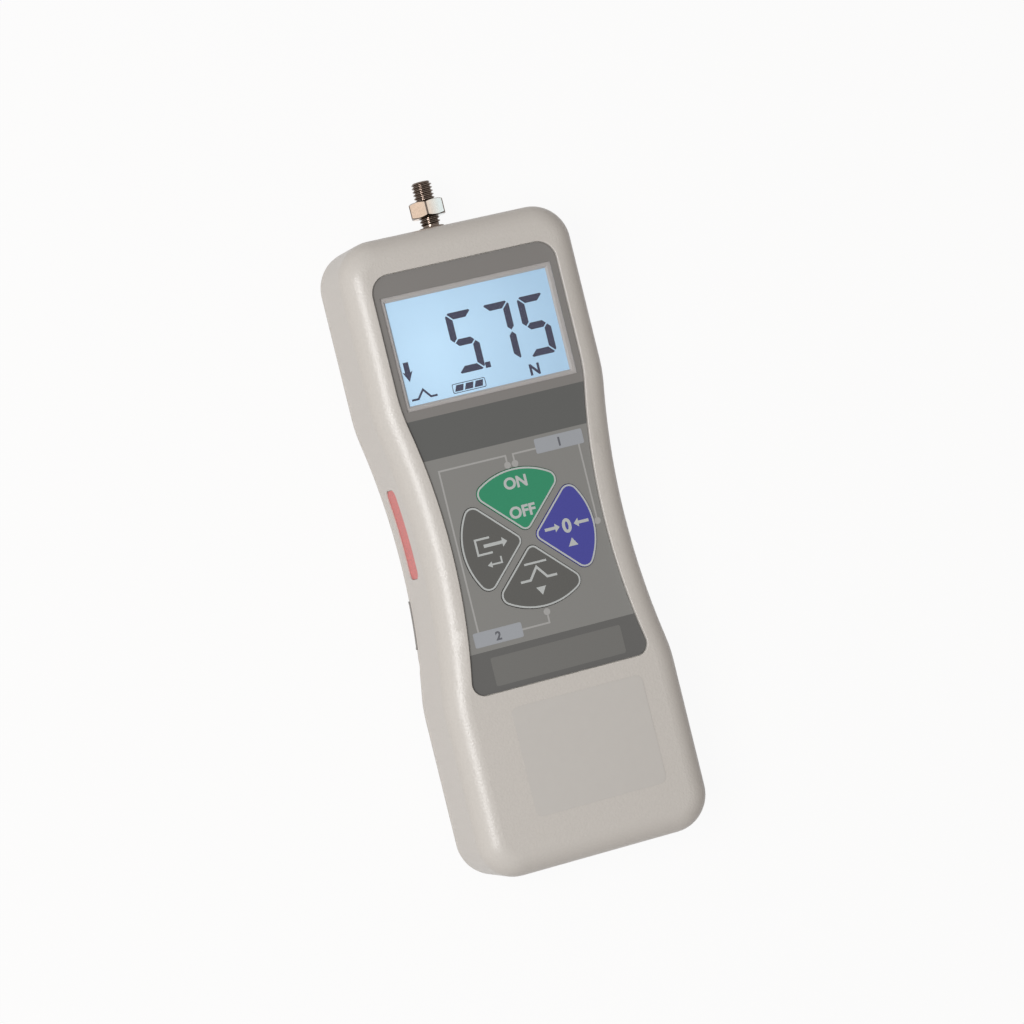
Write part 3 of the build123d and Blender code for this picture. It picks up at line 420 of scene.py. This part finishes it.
def arc(centre, radius, start, end, steps=ARC_STEPS):
    """Points of an arc from one direction to another, the short way round."""
    turn = (end - start + pi) % (2 * pi) - pi
    angles = [start + turn * step / steps for step in range(steps + 1)]
    return [centre + radius * Vector((cos(a), sin(a))) for a in angles]


def petal(inset):
    """Outline of a key, drawn in by inset: a quarter of the key circle, its point at the bottom."""
    foot = Vector((0, (KEY_GAP / 2 + inset) * sqrt(2)))
    circle_radius = KEY_RADIUS - inset
    corner, point = KEY_CORNER - inset, KEY_POINT - inset
    along, inward = Vector((1, 1)).normalized(), Vector((-1, 1)).normalized()
    # The corner's centre is a corner radius inside both the straight side and the circle.
    base = foot + corner * inward
    slant = base.dot(along)
    reach = sqrt(slant**2 - base.length_squared + (circle_radius - corner) ** 2) - slant
    centre = base + reach * along
    heading = centre.angle_signed(Vector((1, 0)))
    right = arc(centre, corner, -pi / 4, heading)
    top = arc(Vector((0, 0)), circle_radius, heading, pi - heading, PETAL_STEPS)
    left = [Vector((-p.x, p.y)) for p in reversed(right)]
    bottom = arc(foot + Vector((0, point * sqrt(2))), point, -3 * pi / 4, -pi / 4)
    return right + top[1:-1] + left + bottom


def turned(name, rows, steps, place, closed=False):
    """Mesh of rings round the local Z axis. Each row gives (z, radius) at an angle."""
    work = bmesh.new()
    rings = []
    for row in rows:
        ring = []
        for step in range(steps):
            angle = 2 * pi * step / steps
            z, radius = row(angle) if callable(row) else row
            ring.append(work.verts.new(place @ Vector((radius * cos(angle), radius * sin(angle), z))))
        rings.append(ring)
    for low, high in zip(rings, rings[1:] + (rings[:1] if closed else [])):
        for i in range(steps):
            work.faces.new((low[i - 1], low[i], high[i], high[i - 1]))
    if not closed:
        work.faces.new(rings[0])
        work.faces.new(rings[-1])
    bmesh.ops.recalc_face_normals(work, faces=work.faces)
    mesh = bpy.data.meshes.new(name)
    work.to_mesh(mesh)
    work.free()
    mesh.shade_smooth()
    mesh.set_sharp_from_angle(angle=SHARP_EDGE)
    return mesh


def thread_radius(z, angle, root, crest, pitch=PITCH):
    """Radius of a right hand thread's surface: flats at the root and the crest, straight flanks."""
    phase = (z / pitch - angle / (2 * pi)) % 1.0
    lift = (0.5 - abs(phase - 0.5) - THREAD_FLAT) / THREAD_FLANK
    return root + (crest - root) * min(1.0, max(0.0, lift))


# ---------------------------------------------------------------- places from the frame
panel_low, panel_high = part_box("panel_overlay")
key_low, key_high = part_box("key_send")
key_centre = (key_low.y + key_high.y) / 2
key_top = key_high.z
glass_low, glass_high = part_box("display_glass")
nut_low, nut_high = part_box("lock_nut")
shaft_low, shaft_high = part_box("measuring_shaft")
shaft_axis = (nut_low.z + nut_high.z) / 2

# ---------------------------------------------------------------- materials
PRINTED = {"Specular_IOR_Level": 0.22}
METAL = {"Metallic": 1.0}
case_paint = finish(
    "case_paint", rgb(194, 190, 185), 0.34, 0.6 * MM, tint=0.03, relief=0.09 * MM, Specular_IOR_Level=0.55
)
panel_print = finish(
    "panel_print",
    bands(
        [key_centre + FOOT_BAND_TOP, key_centre + DARK_BAND_FOOT, key_centre + DARK_BAND_TOP],
        [rgb(98, 98, 97), rgb(131, 131, 129), rgb(94, 95, 94), rgb(127, 125, 123)],
    ),
    0.42, 0.3 * MM, tint=0.02, relief=0.006 * MM, **PRINTED,
)
clear_plastic = finish("clear_plastic", rgb(225, 238, 250), 0.08, 6 * MM, gloss_range=0.03, Alpha=0.03)
film_plastic = finish("film_plastic", rgb(190, 187, 183), 0.30, 3 * MM, tint=0.01, gloss_range=0.03)
bezel_plastic = finish("bezel_plastic", rgb(176, 172, 170), 0.45, 0.5 * MM, tint=0.03, **PRINTED)
crystal = finish("crystal", glow, 0.2, 4 * MM, tint=0.01, **PRINTED)
crystal_ink = finish("crystal_ink", rgb(54, 52, 76), 0.5, 0.8 * MM, tint=0.08, Specular_IOR_Level=0.1)
key_green = finish("key_green", rgb(52, 136, 102), 0.42, 0.35 * MM, tint=0.04, relief=0.006 * MM, **PRINTED)
key_blue = finish("key_blue", rgb(71, 72, 150), 0.42, 0.35 * MM, tint=0.04, relief=0.006 * MM, **PRINTED)
key_grey = finish("key_grey", rgb(92, 92, 90), 0.42, 0.35 * MM, tint=0.04, relief=0.006 * MM, **PRINTED)
print_pale = finish("print_pale", rgb(180, 184, 184), 0.45, 0.3 * MM, tint=0.03, **PRINTED)
print_line = finish("print_line", rgb(162, 162, 161), 0.45, 0.3 * MM, tint=0.03, **PRINTED)
print_tag = finish("print_tag", rgb(156, 160, 166), 0.45, 0.3 * MM, tint=0.03, **PRINTED)
print_dark = finish("print_dark", rgb(98, 100, 106), 0.45, 0.3 * MM, tint=0.03, **PRINTED)
print_inset = finish("print_inset", rgb(112, 112, 110), 0.40, 0.3 * MM, tint=0.03, **PRINTED)
# Metal of the nut and the jack pin. Its colour holds a painted reflection, warm on the left and cool on the
# right.
plated_with_painted_reflection = finish("plated_with_painted_reflection", painted_reflection_tones, 0.16, 0.5 * MM, tint=0.10, relief=0.006 * MM, **METAL)
steel = finish("steel", rgb(160, 158, 155), 0.35, 0.5 * MM, tint=0.08, relief=0.01 * MM, **METAL)
# Painted reflection: the stud's metal is darkened to stand in for the dark surroundings its flanks reflect.
thread_dark = finish("thread_dark", rgb(116, 103, 94), 0.14, 0.5 * MM, tint=0.12, relief=0.01 * MM, **METAL)
aluminium = finish("aluminium", rgb(200, 201, 203), 0.38, 0.3 * MM, tint=0.06, relief=0.01 * MM, **METAL)
brass = finish("brass", rgb(204, 168, 104), 0.3, 0.5 * MM, tint=0.08, relief=0.01 * MM, **METAL)
black_plastic = finish("black_plastic", rgb(42, 42, 44), 0.5, 0.3 * MM, tint=0.15, relief=0.01 * MM)
badge_red = finish("badge_red", rgb(202, 96, 92), 0.34, 0.5 * MM, tint=0.30, relief=0.05 * MM, Metallic=0.30)
frame_grey = finish("frame_grey", rgb(138, 135, 132), 0.5, 0.3 * MM, tint=0.08, relief=0.006 * MM)
circuit_board = finish("circuit_board", rgb(38, 96, 62), 0.4, 0.8 * MM, tint=0.12)
white_plastic = finish("white_plastic", rgb(228, 228, 222), 0.5, 0.8 * MM, tint=0.04)
rubber = finish("rubber", rgb(90, 88, 92), 0.7, 0.4 * MM, tint=0.1, relief=0.01 * MM)
gauge_foil = finish("gauge_foil", rgb(196, 150, 84), 0.4, 0.3 * MM, tint=0.1)
sleeve_green = finish("sleeve_green", rgb(70, 118, 84), 0.35, 2 * MM, tint=0.06)
sleeve_red = finish("sleeve_red", rgb(176, 50, 44), 0.45, 0.6 * MM, tint=0.08)

# The lit glass gives off its own colour, for the backlight and as painted light that keeps it bright inside
# its recess. Its painted shade is given off with it.
lit_shader = crystal.node_tree.nodes["Principled BSDF"]
lit_colour = lit_shader.inputs["Base Color"].links[0].from_socket
crystal.node_tree.links.new(lit_colour, lit_shader.inputs["Emission Color"])
lit_shader.inputs["Emission Strength"].default_value = GLOW_STRENGTH

for node, material in {
    "front_case": case_paint, "rear_case": case_paint, "panel_overlay": panel_print,
    "display_lens": clear_plastic, "display_bezel": bezel_plastic, "display_glass": crystal,
    "display_backlight": white_plastic, "display_contact_strips": rubber, "main_board": circuit_board,
    "board_screws": steel, "board_chips": black_plastic, "key_switches": black_plastic,
    "shaft_bush": aluminium, "load_cell": aluminium, "strain_gauges": gauge_foil,
    "load_cell_bracket": steel, "bracket_screws": steel, "load_cell_bolt": steel,
    "load_cell_flex": gauge_foil, "flex_socket": white_plastic, "battery_cells": sleeve_green,
    "battery_tray": black_plastic, "battery_plug": white_plastic, "battery_leads": sleeve_red,
    "connector_board": circuit_board, "connector_board_screws": steel, "output_connector": black_plastic,
    "power_jack": black_plastic, "connector_frame": frame_grey, "board_link": black_plastic,
    "case_screws": steel, "mounting_inserts": brass, "side_badge": badge_red, "clear_film": film_plastic,
    "key_on_off": key_green, "key_send": key_grey, "key_peak": key_grey, "key_zero": key_blue,
    "on_off_switch_button": rubber, "send_switch_button": rubber, "peak_switch_button": rubber,
    "zero_switch_button": rubber,
}.items():
    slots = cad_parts[node].data.materials
    for index in range(len(slots)):
        slots[index] = material


# ---------------------------------------------------------------- shaft and nut
def measuring_shaft():
    """The stud with its collar, and a cut thread from the collar to the tip."""
    base = shaft_low.y
    collar_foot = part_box("load_cell")[1].y - base
    tip = shaft_high.y - base
    collar_top = tip - THREAD_LENGTH
    rows = [(0.0, STUD_RADIUS - STUD_CHAMFER), (STUD_CHAMFER, STUD_RADIUS)]
    rows += [(collar_foot, STUD_RADIUS), (collar_foot, COLLAR_RADIUS)]
    for angle in COLLAR_EDGE_ANGLES:
        height = collar_top - COLLAR_EDGE * (1 - sin(angle))
        rows.append((height, COLLAR_RADIUS - COLLAR_EDGE * (1 - cos(angle))))

    def thread_row(z):
        neck = THREAD_ROOT + max(0.0, z - collar_top - THREAD_NECK)
        end = THREAD_CREST - STUD_CHAMFER + (tip - z)
        return lambda angle: (z, min(thread_radius(z, angle, THREAD_ROOT, THREAD_CREST), neck, end))

    count = round(THREAD_LENGTH / PITCH * THREAD_ROWS)
    rows += [thread_row(collar_top + THREAD_LENGTH * i / count) for i in range(count + 1)]
    place = Matrix.Translation((0, base, shaft_axis)) @ Matrix.Rotation(radians(-90), 4, "X")
    mesh = turned("measuring_shaft_threaded", rows, RING_STEPS["shaft"], place)
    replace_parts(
        add_piece("measuring_shaft_threaded", mesh, thread_dark, "shaft"), "measuring_shaft"
    )


def lock_nut():
    """Hexagon nut with both faces chamfered and softened corners. Its corners and chamfers are painted dark
    as shade.
    """
    thickness = nut_high.y - nut_low.y
    bore, mouth = THREAD_ROOT + NUT_BORE_GAP, THREAD_CREST + NUT_MOUTH_GAP
    face = NUT_FLAT - NUT_FACE_MARGIN

    def side(angle):
        pulls = [max(0.0, cos(angle - k * pi / 3 - pi / 6)) ** NUT_CORNER_POWER for k in range(6)]
        return NUT_FLAT / sum(pulls) ** (1 / NUT_CORNER_POWER)

    def rim(angle):
        return (side(angle) - face) * tan(NUT_CHAMFER)

    rows = [
        (0.0, mouth), (0.0, face), lambda a: (rim(a), side(a)), lambda a: (thickness - rim(a), side(a)),
        (thickness, face), (thickness, mouth), (thickness - (mouth - bore), bore), (mouth - bore, bore),
    ]
    place = Matrix.Translation((0, nut_low.y, shaft_axis)) @ Matrix.Rotation(radians(-90), 4, "X")
    place = place @ Matrix.Rotation(-pi / 2 - NUT_TURN, 4, "Z")
    mesh = turned("lock_nut_chamfered", rows, RING_STEPS["nut"], place, closed=True)
    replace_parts(add_piece("lock_nut_chamfered", mesh, plated_with_painted_reflection, "nut"), "lock_nut")

    # Painted shade: the corners and the chamfers take the dark stud metal, standing in for the dark rims they
    # show.
    mesh.materials.append(thread_dark)
    flat_lean, end_lean = (sin(lean) for lean in NUT_PAINTED_SHADE_LEAN)
    to_nut = place.inverted()
    for polygon in mesh.polygons:
        x, y, _ = to_nut @ polygon.center
        from_corner = abs((atan2(y, x) + pi / 6) % (pi / 3) - pi / 6)
        on_corner = from_corner < NUT_PAINTED_SHADE_CORNER and Vector((x, y)).length > NUT_FLAT
        if on_corner or flat_lean < abs(polygon.normal.y) < end_lean:
            polygon.material_index = 1


def clear_film():
    """The film on the lower front: a thin sheet just above the paint, in the colour that shows through it."""
    low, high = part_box("clear_film")
    middle, size = (low + high) / 2, high - low
    outline = rectangle(middle.x, middle.y, size.x, size.y, FILM_CORNER)
    mesh = plate([outline], high.z - PRINT_THICKNESS)
    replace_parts(add_piece("clear_film_sheet", mesh, film_plastic, "housing"), "clear_film")


# ---------------------------------------------------------------- screws, inserts and ports
def four_places(low, high, radius):
    """Centres of four round pieces of one radius that fill the corners of a box."""
    x, y = high.x - radius, high.y - radius
    return [(sx * x, sy * y, low.z) for sx in (-1, 1) for sy in (-1, 1)]


def case_screws():
    """The case screws with a cross recess in each head."""
    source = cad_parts["case_screws"]
    cutter = bmesh.new()
    for turn, place in enumerate(four_places(*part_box("case_screws"), CASE_SCREW_RADIUS)):
        for quarter in (0, 90):
            pose = Matrix.Translation(place) @ Matrix.Rotation(radians(CROSS_TURN * turn + quarter), 4, "Z")
            size = Matrix.Diagonal((*CROSS_SIZE, 1))
            arm = bmesh.ops.create_cube(cutter, size=1, matrix=pose @ size)["verts"]
            for vert in arm:
                if vert.co.z > place[2]:
                    drawn_in = Vector(place).lerp(vert.co, CROSS_TAPER)
                    vert.co = (drawn_in.x, drawn_in.y, vert.co.z)
    cross = bpy.data.objects.new("cross", bpy.data.meshes.new("cross"))
    cutter.to_mesh(cross.data)
    cutter.free()
    heads = bpy.data.objects.new("heads", source.data.copy())
    heads.matrix_world = source.matrix_world
    for obj in (cross, heads):
        bpy.context.scene.collection.objects.link(obj)
    cut = heads.modifiers.new("cross", "BOOLEAN")
    cut.object = cross
    cut.use_self = True
    bpy.context.view_layer.update()
    mesh = bpy.data.meshes.new_from_object(heads.evaluated_get(bpy.context.evaluated_depsgraph_get()))
    mesh.transform(heads.matrix_world)
    for obj in (cross, heads):
        bpy.data.objects.remove(obj)
    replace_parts(add_piece("case_screws_crossed", mesh, steel, "housing"), "case_screws")


def mounting_inserts():
    """The four inserts in the back, with a thread cut in each."""
    low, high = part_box("mounting_inserts")
    length = high.z - low.z

    def thread_row(z):
        mouth = INSERT_ROOT - z
        return lambda angle: (z, max(thread_radius(z, angle, INSERT_ROOT, INSERT_CREST, INSERT_PITCH), mouth))

    count = round(INSERT_DEPTH / INSERT_PITCH * INSERT_ROWS)
    rows = [(length, INSERT_RADIUS), (0.0, INSERT_RADIUS)]
    rows += [thread_row(INSERT_DEPTH * i / count) for i in range(count + 1)]
    for number, place in enumerate(four_places(low, high, INSERT_RADIUS)):
        name = f"mounting_insert_{number}"
        mesh = turned(name, rows, RING_STEPS["insert"], Matrix.Translation(place))
        piece = add_piece(name, mesh, brass, "housing")
        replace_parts(piece, "mounting_inserts")


def port_contacts():
    """Contacts on both sides of the connector's tongue, and the metal pin of the jack."""
    low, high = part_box("output_connector")
    middle = (low + high) / 2
    first = middle.y - (CONTACT_COUNT - 1) / 2 * CONTACT_PITCH
    spots = [(low.x + CONTACT_INSET, first + i * CONTACT_PITCH) for i in range(CONTACT_COUNT)]
    for name, height in (("contacts_front", TONGUE_HALF), ("contacts_rear", -TONGUE_HALF - PRINT_THICKNESS)):
        mesh = plate([rectangle(x, y, *CONTACT_SIZE, CONTACT_CORNER) for x, y in spots], middle.z + height)
        add_piece(name, mesh, brass, "housing")
    low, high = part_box("power_jack")
    middle = (low + high) / 2
    place = Matrix.Translation((low.x, middle.y, middle.z)) @ Matrix.Rotation(pi / 2, 4, "Y")
    rows = [(depth, PIN_RADIUS * share) for depth, share in PIN_PROFILE]
    mesh = turned("jack_pin", rows, RING_STEPS["pin"], place)
    add_piece("jack_pin", mesh, plated_with_painted_reflection, "housing")


# ---------------------------------------------------------------- print on the panel
def from_keys(place):
    """Place in the frame of a place that is given from the key circle's centre."""
    return place[0], key_centre + place[1]


def panel_lines():
    """Lines from the tags to the dots beside the keys, the tags and the inset at the foot."""
    on_panel = panel_high.z
    upper_tag, lower_tag = from_keys(UPPER_TAG), from_keys(LOWER_TAG)
    left, middle = from_keys(DOT_LEFT), from_keys(DOT_MIDDLE)
    right, foot = from_keys(DOT_RIGHT), from_keys(DOT_FOOT)
    tag_half, tag_rise = TAG_SIZE[0] / 2, TAG_SIZE[1] / 2
    top, drop = key_centre + LINE_TOP, left[1] + DOT_RADIUS
    foot_line = lower_tag[1] - LOWER_LINE_DROP
    lines = {
        "line_left": [
            (-LINE_SIDE, lower_tag[1] + tag_rise), (-LINE_SIDE, top), (left[0], top), (left[0], drop),
        ],
        "line_middle": [(upper_tag[0] - tag_half, top), (middle[0], top), (middle[0], drop)],
        "line_right": [(LINE_SIDE, upper_tag[1] - tag_rise), (LINE_SIDE, right[1] + DOT_RADIUS)],
        "line_foot": [
            (foot[0], foot[1] - DOT_RADIUS), (foot[0], foot_line), (lower_tag[0] + tag_half, foot_line),
        ],
    }
    dots = {"line_dot_left": left, "line_dot_middle": middle, "line_dot_right": right, "line_dot_foot": foot}
    for name, points in lines.items():
        add_piece(name, plate([stroke(points, LINE_WIDTH)], on_panel), print_line, "housing")
    for name, place in dots.items():
        add_piece(name, plate([circle(*place, DOT_RADIUS)], on_panel), print_line, "housing")
    for number, place in (("1", upper_tag), ("2", lower_tag)):
        tag = plate([rectangle(*place, *TAG_SIZE, TAG_CORNER)], on_panel)
        add_piece("tag_" + number, tag, print_tag, "housing")
        digit = words(number, TAG_DIGIT_HEIGHT, *place, on_panel + PRINT_THICKNESS)
        add_piece("tag_number_" + number, digit, print_dark, "housing")
    inset = plate([rectangle(*from_keys(INSET_PLACE), *INSET_SIZE, INSET_CORNER)], on_panel)
    add_piece("foot_inset", inset, print_inset, "housing")


# ---------------------------------------------------------------- print on the keys
def arrow(place, tip, length, height, heading):
    """Outline of a level arrow. heading is 1 to the right and -1 to the left.

    tip is how far its tip is to the right of the place. Like its length and height, it is in millimetres.
    """
    neck, tail = tip - heading * height * ARROW_HEAD, tip - heading * length
    half, thin = height / 2, height * ARROW_SHAFT
    upper = [(neck, half), (neck, thin), (tail, thin)]
    return around(place, (tip, 0), *upper, *[(x, -y) for x, y in reversed(upper)])


def key_outlines():
    """A pale line round each key."""
    outer, inner = petal(KEY_LINE_INSET), petal(KEY_LINE_INSET + KEY_LINE_WIDTH)
    for quarter, name in enumerate(("on_off", "send", "peak", "zero")):
        mesh = plate([outer, inner], key_top)
        mesh.transform(Matrix.Translation((0, key_centre, 0)) @ Matrix.Rotation(pi / 2 * quarter, 4, "Z"))
        add_piece("key_line_" + name, mesh, print_pale, name + "_key")


def key_marks():
    """A word or sign on each key that says what it does."""

    def mark(name, key, *outlines):
        for number, outline in enumerate(outlines):
            add_piece(f"{name}_{number}", plate([outline], key_top), print_pale, key)

    for text, rise in WORD_RISE.items():
        mesh = words(text, LETTER_HEIGHT, 0, key_centre + rise, key_top)
        add_piece("word_" + text, mesh, print_pale, "on_off_key")
    # Set to zero: two arrows meet at a nought. An upward triangle is below it.
    zero = from_keys(ZERO_SIGN)
    nought = words("0", NOUGHT_HEIGHT, *zero, key_top)
    add_piece("zero_nought", nought, print_pale, "zero_key")
    mark(
        "zero_sign", "zero_key",
        arrow(zero, -2.2, 4.6, 2.6, 1),
        arrow(zero, 2.2, 4.6, 2.6, -1),
        around(zero, (-0.9, -6.2), (2.1, -6.2), (0.6, -3.8)),
    )
    # Send: an arrow out of a box. A return arrow is below it.
    send = from_keys(SEND_SIGN)
    mark(
        "send_sign", "send_key",
        stroke(around(send, (0, 2.2), (-4.4, 2.2), (-4.4, -2.2), (0, -2.2)), SIGN_LINE),
        arrow(send, 5.0, 7.2, 2.8, 1),
        stroke(around(send, (2.0, -3.8), (2.0, -5.6), (-1.0, -5.6)), FINE_LINE),
        around(send, (-2.4, -5.6), (-1.0, -4.7), (-1.0, -6.5)),
    )
    # Peak hold: a line that rises to a peak, and a bar over it. A downward triangle is below it.
    peak = from_keys(PEAK_SIGN)
    mark(
        "peak_sign", "peak_key",
        stroke(around(peak, (-5.6, -1.7), (-2.6, -1.7), (0, 1.7), (2.6, -1.7), (5.6, -1.7)), PEAK_LINE),
        stroke(around(peak, (-3.4, 3.0), (3.4, 3.0)), SIGN_LINE),
        around(peak, (-1.5, -4.1), (1.5, -4.1), (0, -6.5)),
    )


# ---------------------------------------------------------------- display
def seven_segments(lit, left):
    """Outlines of the lit segments of a digit: mitred ends, cut corners and a gap between them."""
    thick, half, gap, corner = DIGIT_STROKE, DIGIT_STROKE / 2, DIGIT_GAP, DIGIT_CORNER
    cut = (corner - gap) / 2
    right, foot, top = left + DIGIT_WIDTH, DIGIT_FOOT, DIGIT_FOOT + DIGIT_HEIGHT
    middle = foot + DIGIT_HEIGHT / 2

    def bar(y, down):
        """Level bar at the top or the foot. down is 1 where it grows downwards and -1 where upwards."""
        return [
            (left + corner, y), (right - corner, y), (right - gap - cut, y - down * cut),
            (right - gap - thick, y - down * thick), (left + gap + thick, y - down * thick),
            (left + gap + cut, y - down * cut),
        ]

    def post(x, y, inward, down):
        """Upright bar from a corner of the digit to its middle."""
        return [
            (x, y - down * corner), (x + inward * cut, y - down * (gap + cut)),
            (x + inward * thick, y - down * (gap + thick)),
            (x + inward * thick, middle + down * (half + gap)),
            (x + inward * half, middle + down * gap), (x, middle + down * (half + gap)),
        ]

    across = [
        (left + half + gap, middle), (left + thick + gap, middle + half),
        (right - thick - gap, middle + half), (right - half - gap, middle),
        (right - thick - gap, middle - half), (left + thick + gap, middle - half),
    ]
    bars = {
        "a": bar(top, 1), "b": post(right, top, -1, 1), "c": post(right, foot, -1, -1), "d": bar(foot, -1),
        "e": post(left, foot, 1, -1), "f": post(left, top, 1, 1), "g": across,
    }
    return [bars[segment] for segment in lit]


def display_marks():
    """A reading in seven segment digits, its unit, a battery level, a force arrow and a hold sign."""
    on_glass = glass_high.z
    battery_bar = ((-1.5, -0.9), (1.0, -0.9), (1.5, 0.9), (-0.8, 0.9))
    arrow_side = [(1.5, 3.0), (0.8, 2.7), (0.8, 5.7)]
    other_side = [(-x, y) for x, y in reversed(arrow_side)]
    hold_line = around(HOLD_SIGN, (-3.9, 0), (-1.9, 0), (0, 2.4), (1.9, 0), (3.9, 0))
    battery_x, battery_y = BATTERY_PLACE
    shapes = {
        "digit_left": seven_segments("afgcd", DIGIT_LEFTS["left"]),
        "digit_middle": seven_segments("abc", DIGIT_LEFTS["middle"]),
        "digit_right": seven_segments("afgcd", DIGIT_LEFTS["right"]),
        "decimal_point": [rectangle(POINT_X, DIGIT_FOOT + POINT_SIZE[1] / 2, *POINT_SIZE)],
        "battery_case": [rectangle(*BATTERY_PLACE, *edge) for edge in BATTERY_CASE],
        "battery_bars": [
            around((battery_x + i * BATTERY_SPACING, battery_y), *battery_bar) for i in (-1, 0, 1)
        ],
        "force_arrow": [around(FORCE_ARROW, (0, 0), *arrow_side, *other_side)],
        "hold_sign": [stroke(hold_line, SIGN_LINE)],
    }
    for name, outlines in shapes.items():
        add_piece(name, plate(outlines, on_glass), crystal_ink, "housing")
    unit = words("N", UNIT_HEIGHT, *UNIT_PLACE, on_glass)
    add_piece("unit_newton", unit, crystal_ink, "housing")


# ---------------------------------------------------------------- studio
def camera():
    """A long lens above the gauge and to its left, turned so that the gauge leans left in the picture."""
    turn = Matrix.Identity(4)
    for degrees, axis in CAMERA_TURN:
        turn = turn @ Matrix.Rotation(radians(degrees), 4, axis)
    aim = Vector((0, key_centre, panel_high.z))
    lens = bpy.data.cameras.new("camera")
    lens.lens = CAMERA_LENS
    lens.clip_end = CAMERA_REACH
    obj = bpy.data.objects.new("camera", lens)
    bpy.context.scene.collection.objects.link(obj)
    back = turn.transposed()
    obj.matrix_world = Matrix.Translation(aim - back @ CAMERA_OFFSET) @ back
    bpy.context.scene.camera = obj


def key_lamp():
    """Square soft lamp above the gauge and to its left, aimed at the origin."""
    light = bpy.data.lights.new("key_lamp", "AREA")
    light.shape = "SQUARE"
    light.size = LAMP_SIZE
    light.energy = LAMP_POWER
    obj = bpy.data.objects.new("key_lamp", light)
    bpy.context.scene.collection.objects.link(obj)
    obj.location = LAMP_PLACE
    obj.rotation_euler = (-Vector(LAMP_PLACE)).to_track_quat("-Z", "Y").to_euler()


def white_where_seen(nodes, links, lit, amount):
    """Mixes a lit shader with an amount of white where the camera, a reflection or glass looks at it."""
    path = nodes.new("ShaderNodeLightPath")
    seen = path.outputs["Is Camera Ray"]
    for ray in ("Is Glossy Ray", "Is Transmission Ray"):
        either = nodes.new("ShaderNodeMath")
        either.operation = "MAXIMUM"
        links.new(seen, either.inputs[0])
        links.new(path.outputs[ray], either.inputs[1])
        seen = either.outputs[0]
    share = nodes.new("ShaderNodeMath")
    share.operation = "MULTIPLY"
    share.inputs[1].default_value = amount
    links.new(seen, share.inputs[0])
    white = nodes.new("ShaderNodeEmission")
    white.inputs["Color"].default_value = (1, 1, 1, 1)
    mix = nodes.new("ShaderNodeMixShader")
    links.new(share.outputs[0], mix.inputs[0])
    links.new(lit, mix.inputs[1])
    links.new(white.outputs[0], mix.inputs[2])
    return mix.outputs[0]


def room():
    """Surroundings that look white. Their light on the gauge gets weaker and warmer from left to right."""
    world = bpy.data.worlds.new("studio")
    bpy.context.scene.world = world
    world.use_nodes = True
    nodes, links = world.node_tree.nodes, world.node_tree.links
    background = nodes["Background"]
    place = nodes.new("ShaderNodeTexCoord").outputs["Generated"]
    across = share_along(nodes, links, place, "X", (-1.0, 1.0))
    links.new(blend(nodes, links, across, ROOM_LEFT, ROOM_RIGHT), background.inputs["Color"])
    surface = white_where_seen(nodes, links, background.outputs[0], 1.0)
    links.new(surface, nodes["World Output"].inputs["Surface"])


def white_floor():
    """White floor that keeps a faint shadow of the gauge."""
    corners = [(x * FLOOR_HALF, y * FLOOR_HALF, 0) for x, y in ((-1, -1), (1, -1), (1, 1), (-1, 1))]
    mesh = bpy.data.meshes.new("floor")
    mesh.from_pydata(corners, [], [(0, 1, 2, 3)])
    floor = bpy.data.objects.new("floor", mesh)
    bpy.context.scene.collection.objects.link(floor)
    floor.location.z = cad_box[0][2] - FLOOR_GAP
    paper = bpy.data.materials.new("paper")
    paper.use_nodes = True
    nodes, links = paper.node_tree.nodes, paper.node_tree.links
    shader = nodes["Principled BSDF"]
    shader.inputs["Base Color"].default_value = FLOOR_COLOUR
    shader.inputs["Roughness"].default_value = FLOOR_ROUGHNESS
    surface = white_where_seen(nodes, links, shader.outputs[0], FLOOR_WHITE)
    links.new(surface, nodes["Material Output"].inputs["Surface"])
    mesh.materials.append(paper)


measuring_shaft()
lock_nut()
clear_film()
case_screws()
mounting_inserts()
port_contacts()
panel_lines()
key_outlines()
key_marks()
display_marks()
camera()
room()
white_floor()
key_lamp()
bpy.context.scene.view_settings.view_transform = "Standard"
